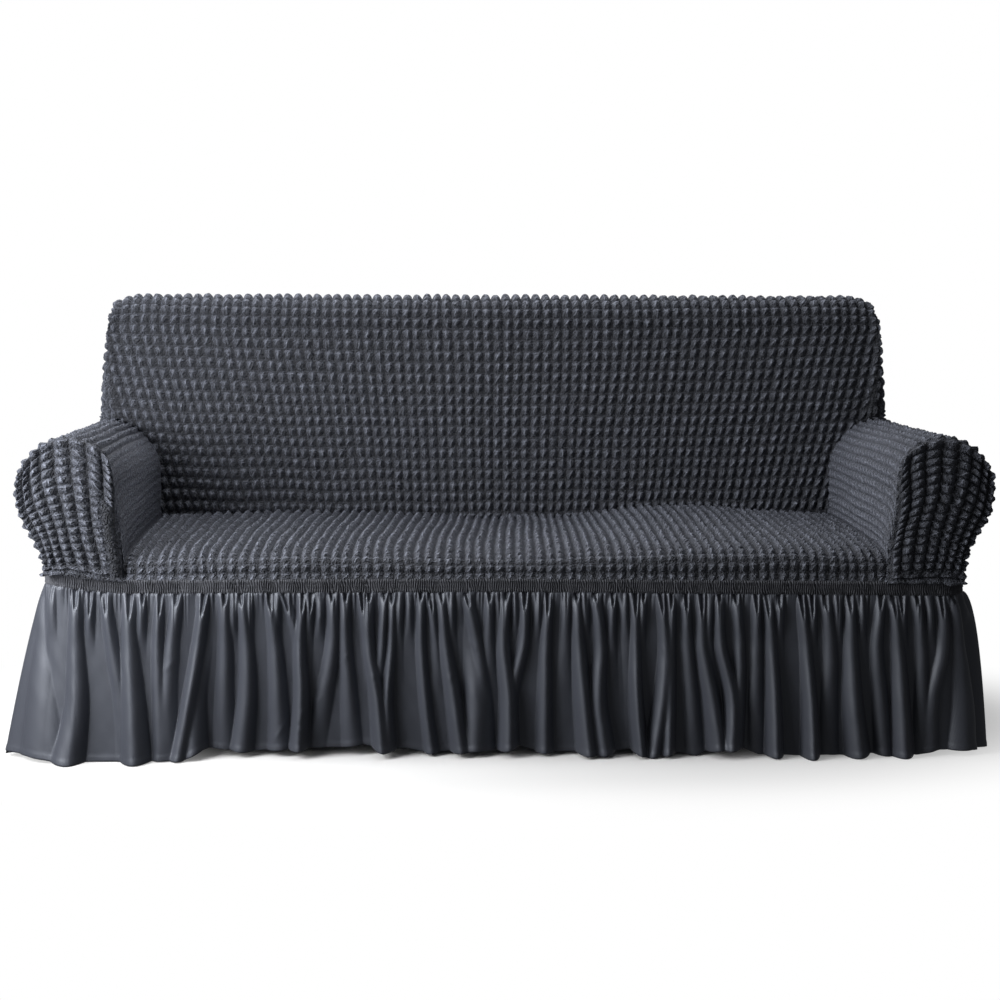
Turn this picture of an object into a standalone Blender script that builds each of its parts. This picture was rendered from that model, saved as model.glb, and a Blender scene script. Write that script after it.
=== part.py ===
"""A fitted slipcover for a three-seater sofa: bubble cloth above, a shirred band, a gathered skirt below.

Metres, +Z up. The front faces -Y and +X is the viewer's right. The origin is on the floor, under the
middle of the cover. Each sewn piece is a closed shell with the shape that the cloth takes when worn:
its outer face is the envelope of the bubbles, its inner face is the back of the cloth.
"""

import math

import bpy
import numpy as np

# Cloth
BUBBLE_CLOTH = 0.012  # from the back of the cloth to the tips of its bubbles
SKIRT_CLOTH = 0.002
BAND_CLOTH = 0.005
SETBACK = 0.00022  # each sewn edge stops this far short of its seam line
BAND_GAP = 0.00018  # half of the space between the band and what is sewn to it
SPLIT_DIRECTION = np.array([0.37, 0.51, 0.77])  # settles how the thin edges of the shells are split

# Band: the line between bubble cloth and skirt sinks a little from left to right
BAND_MIDDLE_Z = 0.3605
BAND_TILT = -0.015
BAND_HEIGHT = 0.024
BAND_HALF_WIDTH = 0.950
BAND_FRONT_Y = -0.402
BAND_REAR_Y = 0.402
BAND_CORNER = 0.055
BAND_PUFF = 0.002

# Backrest
CREASE_Z = 0.431
FACE_FOOT_Y = 0.199
FACE_LEAN = 0.030
FACE_CURVE = 0.036
FACE_HEIGHT = 0.441  # from the crease to where the top roll begins
CORNER_START_X = 0.80
CORNER_DEPTH = 0.010
CORNER_RUN = 0.12
ROLL_MIDDLE_Y = 0.340
ROLL_HEIGHT = 0.072
ROLL_POWER = 2.3
ROLL_STEPS = 8
REAR_SEAM_Y = 0.414
TOP_CORNER_DROP = 0.030
TOP_CORNER_START = 0.925  # share of the half width where the top edge begins to round down
ROLL_NARROWING = 0.004

# Column places across the backrest and the seat, as shares of the half width: closer at the ends
COLUMN_SHARES = (0.0, 0.14, 0.28, 0.42, 0.56, 0.70, 0.82, 0.91, 0.96, 1.0)

# Arm outline from the seat to the crest: place at the front seam and at the backrest
ARM_INNER = (
    # front x, front z, rear x, rear z
    (0.780, 0.373, 0.793, 0.431),
    (0.782, 0.425, 0.793, 0.470),
    (0.789, 0.460, 0.793, 0.510),
    (0.795, 0.515, 0.795, 0.545),
    (0.797, 0.575, 0.800, 0.575),
    (0.808, 0.622, 0.821, 0.607),
    (0.827, 0.646, 0.841, 0.630),
    (0.856, 0.660, 0.872, 0.650),
    (0.898, 0.665, 0.901, 0.658),
)

# Arm outline from the crest down the outer side to the band
ARM_OUTER = (
    # front x, front z, rear x, rear z
    (0.898, 0.665, 0.901, 0.658),
    (0.935, 0.655, 0.928, 0.655),
    (0.963, 0.635, 0.946, 0.638),
    (0.984, 0.606, 0.956, 0.605),
    (0.996, 0.575, 0.960, 0.565),
    (0.998, 0.545, 0.961, 0.525),
    (0.994, 0.513, 0.960, 0.485),
    (0.983, 0.483, 0.959, 0.450),
    (0.967, 0.452, 0.958, 0.425),
    (0.952, 0.418, 0.957, 0.400),
    (0.946, 0.373, 0.956, 0.373),
)
ARM_INNER_STEPS = 9
ARM_OUTER_STEPS = 8
ARM_FRONT_Y = -0.408
FACING_MIDDLE_X = 0.878
FACING_MIDDLE_Z = 0.535
FACING_CROWN = 0.017
FACING_TIP = 0.0005  # the crown's middle beyond its last ring
FACING_RINGS = 4
FACING_FOOT_STEPS = 4

# Seat from the band over its front edge to the crease, with the sleeve's rows beside it
SEAT_ROWS = (
    # y, z, half width, y of the arm sleeve's row higher up
    (-0.394, 0.373, 0.7810, -0.399),
    (-0.393, 0.392, 0.7820, -0.388),
    (-0.384, 0.408, 0.7830, -0.372),
    (-0.362, 0.418, 0.7840, -0.350),
    (-0.320, 0.423, 0.7850, -0.310),
    (-0.220, 0.428, 0.7870, -0.215),
    (-0.100, 0.431, 0.7890, -0.100),
    (0.030, 0.433, 0.7910, 0.020),
    (0.130, 0.433, 0.7920, 0.120),
    (0.199, 0.431, 0.7930, 0.199),
)
SEAT_FRONT_BULGE = 0.009
SEAT_EDGE_RUN = 1 / 3  # share of the rows over which the front edge rounds over
SEAT_HALF_WIDTH = 0.79
SEAT_SPLIT_X = 0.03  # where the two seat cushions meet
SEAT_CROWN_LEFT = 0.011
SEAT_CROWN_RIGHT = 0.015
SEAT_CROWN_FULLNESS = 0.6  # below 1 the crown is flat-topped
SLEEVE_SHEAR_STEPS = 4  # outline steps over which the sleeve's rows turn from upright to the seat's edge

# Backrest seam line above the arms, from the arm's crest to the foot of the top roll
SEAM_ABOVE_ARM = (
    # z, half width
    (0.658, 0.901),
    (0.712, 0.907),
    (0.766, 0.913),
    (0.820, 0.919),
    (0.872, 0.921),
)

# Outermost half width of the backrest's ends by height
END_WIDTHS = (
    # z, half width
    (0.373, 0.957),
    (0.520, 0.961),
    (0.655, 0.951),
    (0.705, 0.950),
    (0.770, 0.944),
    (0.830, 0.937),
    (0.872, 0.932),
)
END_HANDLE_FRONT = 0.012
END_HANDLE_LOW = 0.060
END_HANDLE_REAR = 0.020

# Rear panel by height
REAR_ROWS = (
    # z, y, half width
    (0.373, 0.408, 0.905),
    (0.450, 0.414, 0.908),
    (0.600, 0.418, 0.912),
    (0.750, 0.418, 0.917),
    (0.872, 0.414, 0.921),
)
REAR_BULGE = 0.006

# Skirt: places run along the band's outline from the middle of the front (or back), in metres
GATHER = 0.005  # from ridge to valley at the band
FRONT_ROWS = (0.0, 0.10, 0.30, 0.62, 1.0)
SIDE_ROWS = (0.0, 0.20, 0.58, 1.0)
FRONT_SAMPLES = 3
SIDE_SAMPLES = 3
FOLD_GROWTH = 0.55  # power of the way down by which the folds deepen

# Main folds of the front, left to right
FRONT_FOLDS = (
    # place at the band, place at the hem, reach of the ridge at the hem, depth of the valley after it
    (-0.882, -0.930, 0.012, 0.022),
    (-0.767, -0.785, 0.052, 0.032),
    (-0.712, -0.738, 0.030, 0.030),
    (-0.628, -0.685, 0.022, 0.050),
    (-0.577, -0.610, -0.003, 0.026),
    (-0.530, -0.556, -0.004, 0.026),
    (-0.477, -0.487, 0.000, 0.028),
    (-0.417, -0.440, 0.008, 0.038),
    (-0.356, -0.390, -0.002, 0.026),
    (-0.325, -0.335, -0.004, 0.034),
    (-0.262, -0.267, 0.014, 0.050),
    (-0.176, -0.170, 0.006, 0.026),
    (-0.127, -0.120, 0.004, 0.026),
    (-0.072, -0.070, 0.010, 0.042),
    (0.010, -0.002, 0.010, 0.038),
    (0.086, 0.072, 0.008, 0.038),
    (0.172, 0.187, 0.024, 0.052),
    (0.297, 0.300, 0.038, 0.046),
    (0.374, 0.377, 0.028, 0.036),
    (0.425, 0.452, 0.042, 0.042),
    (0.513, 0.515, 0.030, 0.026),
    (0.552, 0.558, 0.042, 0.040),
    (0.622, 0.628, 0.056, 0.042),
    (0.665, 0.676, 0.042, 0.028),
    (0.716, 0.726, 0.046, 0.034),
    (0.763, 0.770, 0.038, 0.022),
    (0.804, 0.818, 0.042, 0.036),
    (0.847, 0.866, 0.022, 0.030),
    (0.892, 0.908, 0.004, 0.026),
    (0.940, 0.958, 0.062, 0.036),
)

# Height of the hem above the floor along the front
HEM_LIFTS = (
    # place, lift
    (-1.03, 0.003),
    (-0.80, 0.0),
    (-0.65, 0.007),
    (-0.35, 0.009),
    (0.00, 0.006),
    (0.30, 0.002),
    (0.60, 0.0),
    (1.03, 0.001),
)

# Reach of the hem where the strips meet
JOINT_REACH = {"front_left": 0.084, "front_right": 0.052, "back_left": 0.040, "back_right": 0.036}

# Strips out of view
BACK_FOLDS = 22
SIDE_FOLDS = 8
HIDDEN_LIFTS = ((-1.03, 0.002), (1.03, 0.002))
HIDDEN_REACH = {"back": 0.036, "left": 0.068, "right": 0.057}
HIDDEN_FOLD_DEPTH = 0.030
DEPTH_RANGE = (0.70, 1.25)  # as shares of the depth
REACH_RANGE = (-0.008, 0.010)
PLACE_RANGE = 0.12  # share of the pitch by which a fold starts off its even place
LEAN_RANGE = 0.18  # share of the pitch by which it leans on its way down

CHARCOAL = (0.050, 0.053, 0.064, 1.0)
SATIN_CHARCOAL = (0.058, 0.061, 0.074, 1.0)
BAND_CHARCOAL = (0.046, 0.048, 0.058, 1.0)


# ---------------------------------------------------------------- curves

def band_top(x):
    return BAND_MIDDLE_Z + BAND_TILT * x + BAND_HEIGHT / 2


def band_bottom(x):
    return BAND_MIDDLE_Z + BAND_TILT * x - BAND_HEIGHT / 2


def ease(t):
    t = np.clip(t, 0.0, 1.0)
    return t * t * (3 - 2 * t)


def unit(vectors):
    length = np.linalg.norm(vectors, axis=-1, keepdims=True)
    return vectors / np.maximum(length, 1e-12)


def spline(points, steps):
    """Points at equal distances along a smooth curve through the given ones."""
    points = np.asarray(points, float)
    before = np.vstack([2 * points[0] - points[1], points[:-2]])
    after = np.vstack([points[2:], 2 * points[-1] - points[-2]])
    dense = []
    for p0, p1, p2, p3 in zip(before, points[:-1], points[1:], after):
        for t in np.linspace(0, 1, 16, endpoint=False):
            bend = (2 * p0 - 5 * p1 + 4 * p2 - p3) * t * t + (3 * p1 - p0 - 3 * p2 + p3) * t ** 3
            dense.append(p1 + 0.5 * ((p2 - p0) * t + bend))
    dense.append(points[-1])
    dense = np.array(dense)
    reach = np.concatenate([[0], np.cumsum(np.linalg.norm(np.diff(dense, axis=0), axis=1))])
    places = np.linspace(0, reach[-1], steps + 1)
    return np.stack([np.interp(places, reach, dense[:, axis]) for axis in range(dense.shape[1])], axis=1)


def column_places():
    shares = np.array(COLUMN_SHARES)
    return np.concatenate([-shares[:0:-1], shares])


def face_y(x, z):
    """Depth of the backrest's front face: it leans back and rounds away towards its ends."""
    t = np.clip((z - CREASE_Z) / FACE_HEIGHT, -0.2, 1.0)
    corner = CORNER_DEPTH * ease((np.abs(x) - CORNER_START_X) / CORNER_RUN)
    return FACE_FOOT_Y + FACE_LEAN * t + FACE_CURVE * t * t + corner


# ---------------------------------------------------------------- bubble cloth panels
# A panel is a grid of points on the outer face, indexed [row, column], and the way that it faces.

def seat_crown(x):
    """Height of the two soft seat cushions above the seat's own line."""
    left = np.clip((x + SEAT_HALF_WIDTH) / (SEAT_SPLIT_X + SEAT_HALF_WIDTH), 0, 1)
    right = np.clip((x - SEAT_SPLIT_X) / (SEAT_HALF_WIDTH - SEAT_SPLIT_X), 0, 1)
    return (SEAT_CROWN_LEFT * np.sin(math.pi * left) ** SEAT_CROWN_FULLNESS
            + SEAT_CROWN_RIGHT * np.sin(math.pi * right) ** SEAT_CROWN_FULLNESS)


def seat_points():
    u = column_places()
    rows = []
    for index, (y, z, half, _) in enumerate(SEAT_ROWS):
        along = index / (len(SEAT_ROWS) - 1)
        x = u * half
        over_edge = min(1.0, along / SEAT_EDGE_RUN)
        bulge = SEAT_FRONT_BULGE * (1 - u ** 4) * math.sin(math.pi * over_edge)
        crown = seat_crown(x) * ease(over_edge)
        rows.append(np.stack([x, y - bulge, z + crown], axis=1))
    rows[0][:, 2] = band_top(rows[0][:, 0])
    return np.array(rows)


def arm_outlines():
    """The right arm's outline at its front seam and at the backrest, with equal numbers of points."""
    inner = np.array(ARM_INNER)
    outer = np.array(ARM_OUTER)
    front = np.vstack([spline(inner[:, :2], ARM_INNER_STEPS), spline(outer[:, :2], ARM_OUTER_STEPS)[1:]])
    rear = np.vstack([spline(inner[:, 2:], ARM_INNER_STEPS), spline(outer[:, 2:], ARM_OUTER_STEPS)[1:]])
    return front, rear


def sleeve_points(side, seat):
    """One arm's sleeve: rows run over the arm from the seat to the band, columns from front to rear."""
    front, rear = arm_outlines()
    edge = seat[:, -1] if side > 0 else seat[:, 0]
    count = len(front)
    y_rows = np.array([ARM_FRONT_Y] + [row[3] for row in SEAT_ROWS])
    grid = np.zeros((count, len(y_rows), 3))
    for k in range(count):
        shear = 1 - ease(k / SLEEVE_SHEAR_STEPS)
        y_end = face_y(rear[k, 0], rear[k, 1])
        for j, y_row in enumerate(y_rows):
            f = (y_row - ARM_FRONT_Y) / (y_rows[-1] - ARM_FRONT_Y)
            x = front[k, 0] + (rear[k, 0] - front[k, 0]) * f
            z = front[k, 1] + (rear[k, 1] - front[k, 1]) * f
            y = ARM_FRONT_Y + (y_end - ARM_FRONT_Y) * f
            if j > 0 and k <= ARM_INNER_STEPS:
                foot = front[0, 1] + (rear[0, 1] - front[0, 1]) * f
                crest = front[ARM_INNER_STEPS, 1] + (rear[ARM_INNER_STEPS, 1] - front[ARM_INNER_STEPS, 1]) * f
                share = (crest - z) / (crest - foot)
                z = crest - (crest - edge[j - 1, 2]) * share
                y = y + (edge[j - 1, 1] - y) * shear
                x = x + (abs(edge[j - 1, 0]) - x) * shear
            grid[k, j] = (side * x, y, z)
    grid[0, 0, 2] = band_top(grid[0, 0, 0])
    grid[-1, :, 2] = band_top(grid[-1, :, 0])
    return grid


def inside_back_points(seat, sleeves):
    """Backrest face and top roll: rows run from the crease up and over to the rear seam."""
    u = column_places()
    rows = [seat[-1]]
    crease = seat[-1]
    steps = ARM_INNER_STEPS
    for r in range(1, steps + 1):
        share = r / steps
        middle = CREASE_Z + (ARM_INNER[-1][3] - CREASE_Z) * share
        edges = np.where(u < 0, sleeves[-1][r, -1, 2], sleeves[1][r, -1, 2])
        widths = np.where(u < 0, -sleeves[-1][r, -1, 0], sleeves[1][r, -1, 0])
        crown = (crease[:, 2] - CREASE_Z) * (1 - share) ** 2
        z = middle + (edges - middle) * np.abs(u) ** 6 + crown
        x = u * widths
        z[[0, -1]] = edges[[0, -1]]
        rows.append(np.stack([x, face_y(x, z), z], axis=1))
    for z, half in SEAM_ABOVE_ARM[1:]:
        x = u * half
        rows.append(np.stack([x, face_y(x, z), np.full_like(x, z)], axis=1))
    rows.extend(roll_rows(u))
    return np.array(rows)


def roll_rows(u):
    """The roll over the top of the backrest, without its first row, which is the face's last."""
    foot_z, half = SEAM_ABOVE_ARM[-1]
    round_share = np.clip((np.abs(u) - TOP_CORNER_START) / (1 - TOP_CORNER_START), 0, 1)
    corner = 1 - np.sqrt(1 - round_share ** 2)
    rows = []
    for step in range(1, ROLL_STEPS + 1):
        angle = math.pi * step / ROLL_STEPS
        height = max(math.sin(angle), 0.0) ** (2 / ROLL_POWER)
        swing = math.copysign(abs(math.cos(angle)) ** (2 / ROLL_POWER), -math.cos(angle))
        x = u * (half - ROLL_NARROWING * height)
        front = face_y(x, foot_z)
        reach = np.where(swing < 0, ROLL_MIDDLE_Y - front, REAR_SEAM_Y - ROLL_MIDDLE_Y)
        z = foot_z + ROLL_HEIGHT * height - TOP_CORNER_DROP * corner * math.sin(angle)
        rows.append(np.stack([x, ROLL_MIDDLE_Y + swing * reach, z], axis=1))
    return rows


def rear_curves(z):
    table = np.array(REAR_ROWS)
    return np.interp(z, table[:, 0], table[:, 1]), np.interp(z, table[:, 0], table[:, 2])


def outside_back_points(inside_back):
    """Rear panel, from the band up to the rear seam."""
    u = column_places()
    rows = []
    row_count = ARM_OUTER_STEPS + len(SEAM_ABOVE_ARM) - 1
    top_z = SEAM_ABOVE_ARM[-1][0]
    foot_z = REAR_ROWS[0][0]
    for index in range(row_count):
        z = foot_z + (top_z - foot_z) * index / row_count
        y, half = rear_curves(z)
        x = u * half
        bulge = REAR_BULGE * (1 - u ** 4) * math.sin(math.pi * index / row_count)
        rows.append(np.stack([x, y + bulge, np.full_like(x, z)], axis=1))
    rows.append(inside_back[-1])
    rows[0][:, 2] = band_top(rows[0][:, 0])
    return np.array(rows)


def bezier(start, first, second, end, t):
    t = t[:, None]
    return (1 - t) ** 3 * start + 3 * (1 - t) ** 2 * t * first + 3 * (1 - t) * t * t * second + t ** 3 * end


def back_end_points(side, sleeve, inside_back, outside_back):
    """End gusset: rows run from the band up, columns from the front seam round to the rear seam."""
    column = -1 if side > 0 else 0
    low = sleeve[:ARM_INNER_STEPS - 1:-1, -1]
    first_roll = ARM_INNER_STEPS + len(SEAM_ABOVE_ARM) - 1
    high = inside_back[ARM_INNER_STEPS + 1:first_roll, column]
    fronts = np.vstack([low, high])
    rears = outside_back[:-1, column]
    t = np.linspace(0, 1, ROLL_STEPS + 1)
    widths = np.array(END_WIDTHS)
    rows = []
    for index, (start, end) in enumerate(zip(fronts, rears)):
        middle_z = (start[2] + end[2]) / 2
        width = np.interp(middle_z, widths[:, 0], widths[:, 1])
        ends = (abs(start[0]) + abs(end[0])) / 8
        handle_x = side * (width - ends) * 8 / 6  # so that the curve's middle lies at the width
        handle_y = END_HANDLE_LOW if index < len(low) - 1 else END_HANDLE_FRONT
        first = np.array([handle_x, start[1] + handle_y, start[2]])
        second = np.array([handle_x, end[1] - END_HANDLE_REAR, end[2]])
        rows.append(bezier(start, first, second, end, t))
    rows.append(inside_back[first_roll:, column])
    rows[0][:, 2] = band_top(rows[0][:, 0])
    return np.array(rows)


def facing_points(side, sleeve):
    """Arm facing: rings run round the outline, from the seam in to the middle of the crown."""
    outline = sleeve[:, 0]
    foot = np.linspace(outline[-1], outline[0], FACING_FOOT_STEPS + 1)[1:-1]
    loop = np.vstack([outline, foot])
    middle = np.array([side * FACING_MIDDLE_X, ARM_FRONT_Y, FACING_MIDDLE_Z])
    rings = []
    for ring in range(FACING_RINGS):
        share = 1 - ring / FACING_RINGS
        points = middle + (loop - middle) * share
        points[:, 1] = ARM_FRONT_Y - FACING_CROWN * math.sqrt(1 - share ** 2)
        rings.append(points)
    rings[0][outline.shape[0]:, 2] = band_top(foot[:, 0])
    return np.array(rings)


# ---------------------------------------------------------------- shells

def quad_normals(grid, closed):
    """Area-weighted normal at each point of one grid, summed from the cells around it."""
    points = np.concatenate([grid, grid[:, :1]], axis=1) if closed else grid
    cells = np.cross(points[1:, 1:] - points[:-1, :-1], points[:-1, 1:] - points[1:, :-1])
    total = np.zeros_like(points)
    total[:-1, :-1] += cells
    total[1:, :-1] += cells
    total[:-1, 1:] += cells
    total[1:, 1:] += cells
    if closed:
        total[:, 0] += total[:, -1]
        total = total[:, :-1]
    return total


def shared_normals(panels):
    """Normals of all panels, equal where panels share a seam point, so that sewn edges are mitred."""
    totals = {}
    own = {}
    for name, panel in panels.items():
        normals = quad_normals(panel["grid"], panel.get("closed", False))
        if np.dot(normals.sum(axis=(0, 1)), panel["faces"]) < 0:
            normals = -normals
        normals = unit(normals)
        own[name] = normals
        for point, normal in zip(panel["grid"].reshape(-1, 3), normals.reshape(-1, 3)):
            key = tuple(np.round(point, 4))
            totals[key] = totals.get(key, 0) + normal
    for name, panel in panels.items():
        keys = [tuple(np.round(point, 4)) for point in panel["grid"].reshape(-1, 3)]
        own[name] = unit(np.array([totals[key] for key in keys])).reshape(panel["grid"].shape)
    return own


def draw_back(grid, closed):
    """How far each edge point moves into its own panel, to leave the seam's small gap."""
    move = np.zeros_like(grid)
    move[0] += unit(grid[1] - grid[0]) * SETBACK
    if not closed:
        move[-1] += unit(grid[-2] - grid[-1]) * SETBACK
        move[:, 0] += unit(grid[:, 1] - grid[:, 0]) * SETBACK
        move[:, -1] += unit(grid[:, -2] - grid[:, -1]) * SETBACK
    return move


def material(name, colour, roughness):
    made = bpy.data.materials.new(name)
    made.use_nodes = True
    shader = made.node_tree.nodes["Principled BSDF"]
    shader.inputs["Base Color"].default_value = colour
    shader.inputs["Roughness"].default_value = roughness
    shader.inputs["Metallic"].default_value = 0.0
    return made


def shell(name, outer, inner, cloth, closed=False, capped=False):
    """A closed solid between two grids of the same shape. A capped one ends in the middle of its last row."""
    rows, columns = outer.shape[:2]
    half = rows * columns
    points = np.vstack([outer.reshape(-1, 3), inner.reshape(-1, 3)])
    faces = []
    wrap = columns if closed else columns - 1
    for r in range(rows - 1):
        for c in range(wrap):
            a = r * columns + c
            b = r * columns + (c + 1) % columns
            faces.append((a, b, b + columns, a + columns))
            faces.append((a + half, a + columns + half, b + columns + half, b + half))
    rims = [rim_pairs(range(columns), closed)]
    if capped:
        points, faces = capped_ends(points, faces, rows, columns, half)
    else:
        rims.append(rim_pairs(range(half - 1, half - columns - 1, -1), closed))
    if not closed:
        rims.append(rim_pairs(range((rows - 1) * columns, -1, -columns), False))
        rims.append(rim_pairs(range(columns - 1, half, columns), False))
    for a, b in sum(rims, []):
        faces.extend(rim_triangles(points, a, b, half))
    return solid_object(name, points, faces, cloth)


def rim_pairs(run, closed):
    """Neighbouring points along a rim."""
    run = list(run)
    pairs = list(zip(run[:-1], run[1:]))
    return pairs + [(run[-1], run[0])] if closed else pairs


def rim_triangles(points, a, b, half):
    """Two triangles of a rim, split the same way on both sides of a seam."""
    if points[a] @ SPLIT_DIRECTION < points[b] @ SPLIT_DIRECTION:
        return [(b, a, a + half), (b, a + half, b + half)]
    return [(b, a, b + half), (a, a + half, b + half)]


def capped_ends(points, faces, rows, columns, half):
    """Closes both faces of a ring of rows with a fan of triangles at its middle."""
    last = (rows - 1) * columns
    outer_tip = len(points)
    inner_tip = outer_tip + 1
    tips = [points[last:last + columns].mean(axis=0), points[last + half:last + half + columns].mean(axis=0)]
    tips[0][1] = points[last:last + columns, 1].min() - FACING_TIP
    tips[1][1] = tips[0][1] + BUBBLE_CLOTH
    points = np.vstack([points, tips])
    for c in range(columns):
        a = last + c
        b = last + (c + 1) % columns
        faces.append((a, b, outer_tip))
        faces.append((b + half, a + half, inner_tip))
    return points, faces


def solid_object(name, points, faces, cloth):
    mesh = bpy.data.meshes.new(name)
    mesh.from_pydata(points.tolist(), [], faces)
    mesh.validate()
    if signed_volume(mesh) < 0:
        mesh.flip_normals()
    mesh.materials.append(cloth)
    mesh.shade_smooth()
    made = bpy.data.objects.new(name, mesh)
    bpy.context.scene.collection.objects.link(made)
    return made


def signed_volume(mesh):
    mesh.calc_loop_triangles()
    corners = np.array([[mesh.vertices[i].co for i in t.vertices] for t in mesh.loop_triangles])
    return np.einsum("ij,ij->i", corners[:, 0], np.cross(corners[:, 1], corners[:, 2])).sum() / 6


def bubble_panels():
    """All panels of bubble cloth, by node name."""
    seat = seat_points()
    sleeves = {side: sleeve_points(side, seat) for side in (-1, 1)}
    inside_back = inside_back_points(seat, sleeves)
    outside_back = outside_back_points(inside_back)
    panels = {
        "seat_panel": {"grid": seat, "faces": (0, 0, 1), "band_row": 0},
        "inside_back": {"grid": inside_back, "faces": (0, -1, 0.5)},
        "outside_back": {"grid": outside_back, "faces": (0, 1, 0), "band_row": 0},
    }
    for side, label in ((-1, "left"), (1, "right")):
        end = back_end_points(side, sleeves[side], inside_back, outside_back)
        facing = facing_points(side, sleeves[side])
        panels["arm_sleeve_" + label] = {"grid": sleeves[side], "faces": (0, 0, 1), "band_row": -1}
        panels["back_end_" + label] = {"grid": end, "faces": (side, 0, 0), "band_row": 0}
        panels["arm_front_" + label] = {"grid": facing, "faces": (0, -1, 0), "closed": True}
    return panels


def on_band_line(grid):
    """Marks the points that are sewn to the band's upper edge."""
    return np.abs(grid[..., 2] - band_top(grid[..., 0])) < 1e-6


def build_bubble_cloth(cloth):
    panels = bubble_panels()
    normals = shared_normals(panels)
    for name, panel in panels.items():
        grid = panel["grid"]
        closed = panel.get("closed", False)
        at_band = on_band_line(grid)
        normal = normals[name]
        normal[at_band, 2] = 0
        normal[at_band] = unit(normal[at_band])
        move = draw_back(grid, closed)
        outer = grid + move
        inner = grid + move - normal * BUBBLE_CLOTH
        for points in (outer, inner):
            points[at_band, 2] = band_top(points[at_band, 0]) + BAND_GAP
        shell(name, outer, inner, cloth, closed=closed, capped=closed)


# ---------------------------------------------------------------- band and skirt

def outline_place(place, rear=False):
    """Point and outward direction on the band's outline, at a distance from the middle of one long side."""
    straight = BAND_HALF_WIDTH - BAND_CORNER
    side = math.copysign(1, place)
    along = abs(place)
    centre_y = BAND_REAR_Y - BAND_CORNER if rear else BAND_FRONT_Y + BAND_CORNER
    forward = 1 if rear else -1
    angle = min(max(along - straight, 0) / BAND_CORNER, math.pi / 2)
    out = np.array([side * math.sin(angle), forward * math.cos(angle), 0.0])
    point = np.array([side * min(along, straight), centre_y, 0.0]) + out * BAND_CORNER
    return point, out


def band_loop():
    """The band's outline as one closed run of points and outward directions."""
    straight = BAND_HALF_WIDTH - BAND_CORNER
    quarter = BAND_CORNER * math.pi / 2
    half = list(np.linspace(0, straight, 7)) + list(straight + quarter * np.linspace(0, 1, 6)[1:])
    places = [-place for place in half[:0:-1]] + half
    front = [outline_place(place) for place in places]
    rear = [outline_place(place, rear=True) for place in places[::-1]]
    return front + rear


def build_band(cloth):
    rows_outer = []
    rows_inner = []
    for share in (0.0, 0.5, 1.0):
        puff = BAND_PUFF * math.sin(math.pi * share)
        outer = []
        inner = []
        for point, out in band_loop():
            for points, reach in ((outer, puff), (inner, -BAND_CLOTH)):
                place = point + out * reach
                low = band_bottom(place[0])
                place[2] = low + (band_top(place[0]) - low) * share
                points.append(place)
        rows_outer.append(outer)
        rows_inner.append(inner)
    shell("gather_band", np.array(rows_outer), np.array(rows_inner), cloth, closed=True)


def ridge_and_valley_nodes(folds, ends, reach_at_ends):
    """Alternating valleys and ridges of a strip: place at the band, place at the hem, reach at the hem."""
    nodes = [(ends[0], ends[0], reach_at_ends[0], 0.0)]
    previous = None
    for top, hem, reach, depth in folds:
        if previous is not None:
            valley = (previous[2] + reach) / 2 - previous[3]
            nodes.append(((previous[0] + top) / 2, (previous[1] + hem) / 2, valley, -1.0))
        nodes.append((top, hem, reach, 1.0))
        previous = (top, hem, reach, depth)
    nodes.append((ends[1], ends[1], reach_at_ends[1], 0.0))
    return np.array(nodes)


def fold_row(nodes, down, samples):
    """Places and reaches along one row of a strip, a share of the way down from the band to the hem."""
    places = nodes[:, 0] + (nodes[:, 1] - nodes[:, 0]) * down
    mean = np.convolve(np.pad(nodes[:, 2], 1, mode="edge"), (0.25, 0.5, 0.25), mode="valid")
    swing = nodes[:, 2] - mean
    reaches = mean * down + swing * down ** FOLD_GROWTH + GATHER / 2 * nodes[:, 3] * (1 - down)
    out_places = []
    out_reaches = []
    for index in range(len(nodes) - 1):
        for t in np.arange(samples) / samples:
            wave = 0.5 - 0.5 * math.cos(math.pi * t)
            out_places.append(places[index] + (places[index + 1] - places[index]) * t)
            out_reaches.append(reaches[index] + (reaches[index + 1] - reaches[index]) * wave)
    out_places.append(places[-1])
    out_reaches.append(reaches[-1])
    return np.array(out_places), np.array(out_reaches)


def strip_grid(nodes, rows, samples, locate, lifts):
    """The outer face of one skirt strip: rows run from the band to the hem."""
    grid = []
    for down in rows:
        places, reaches = fold_row(nodes, down, samples)
        row = []
        for place, reach in zip(places, reaches):
            point, out = locate(place)
            at = point + out * reach
            hem = np.interp(place, lifts[:, 0], lifts[:, 1])
            top = band_bottom(at[0])
            at[2] = top + (hem - top) * down
            row.append(at)
        grid.append(row)
    return np.array(grid)


def build_strip(name, grid, outward, ends_face, cloth):
    normal = unit(quad_normals(grid, False))
    if np.dot(normal.sum(axis=(0, 1)), outward) < 0:
        normal = -normal
    normal[:, 0] = ends_face[0]
    normal[:, -1] = ends_face[1]
    for row in (0, -1):
        normal[row, :, 2] = 0
        normal[row] = unit(normal[row])
    move = np.zeros_like(grid)
    move[:, 0] = unit(grid[:, 1] - grid[:, 0]) * SETBACK
    move[:, -1] = unit(grid[:, -2] - grid[:, -1]) * SETBACK
    outer = grid + move
    inner = outer - normal * SKIRT_CLOTH
    for points in (outer, inner):
        points[0, :, 2] = band_bottom(points[0, :, 0]) - BAND_GAP
    shell(name, outer, inner, cloth)


def hidden_folds(count, start, end, reach, seed):
    """Folds of a strip that is out of view, as uneven as those in front."""
    random = np.random.default_rng(seed)
    pitch = (end - start) / count
    rows = []
    for index in range(count):
        place = start + pitch * (index + 0.5 + random.uniform(-PLACE_RANGE, PLACE_RANGE))
        hem = place + pitch * random.uniform(-LEAN_RANGE, LEAN_RANGE)
        out = reach + random.uniform(*REACH_RANGE)
        rows.append((place, hem, out, HIDDEN_FOLD_DEPTH * random.uniform(*DEPTH_RANGE)))
    return rows


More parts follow.
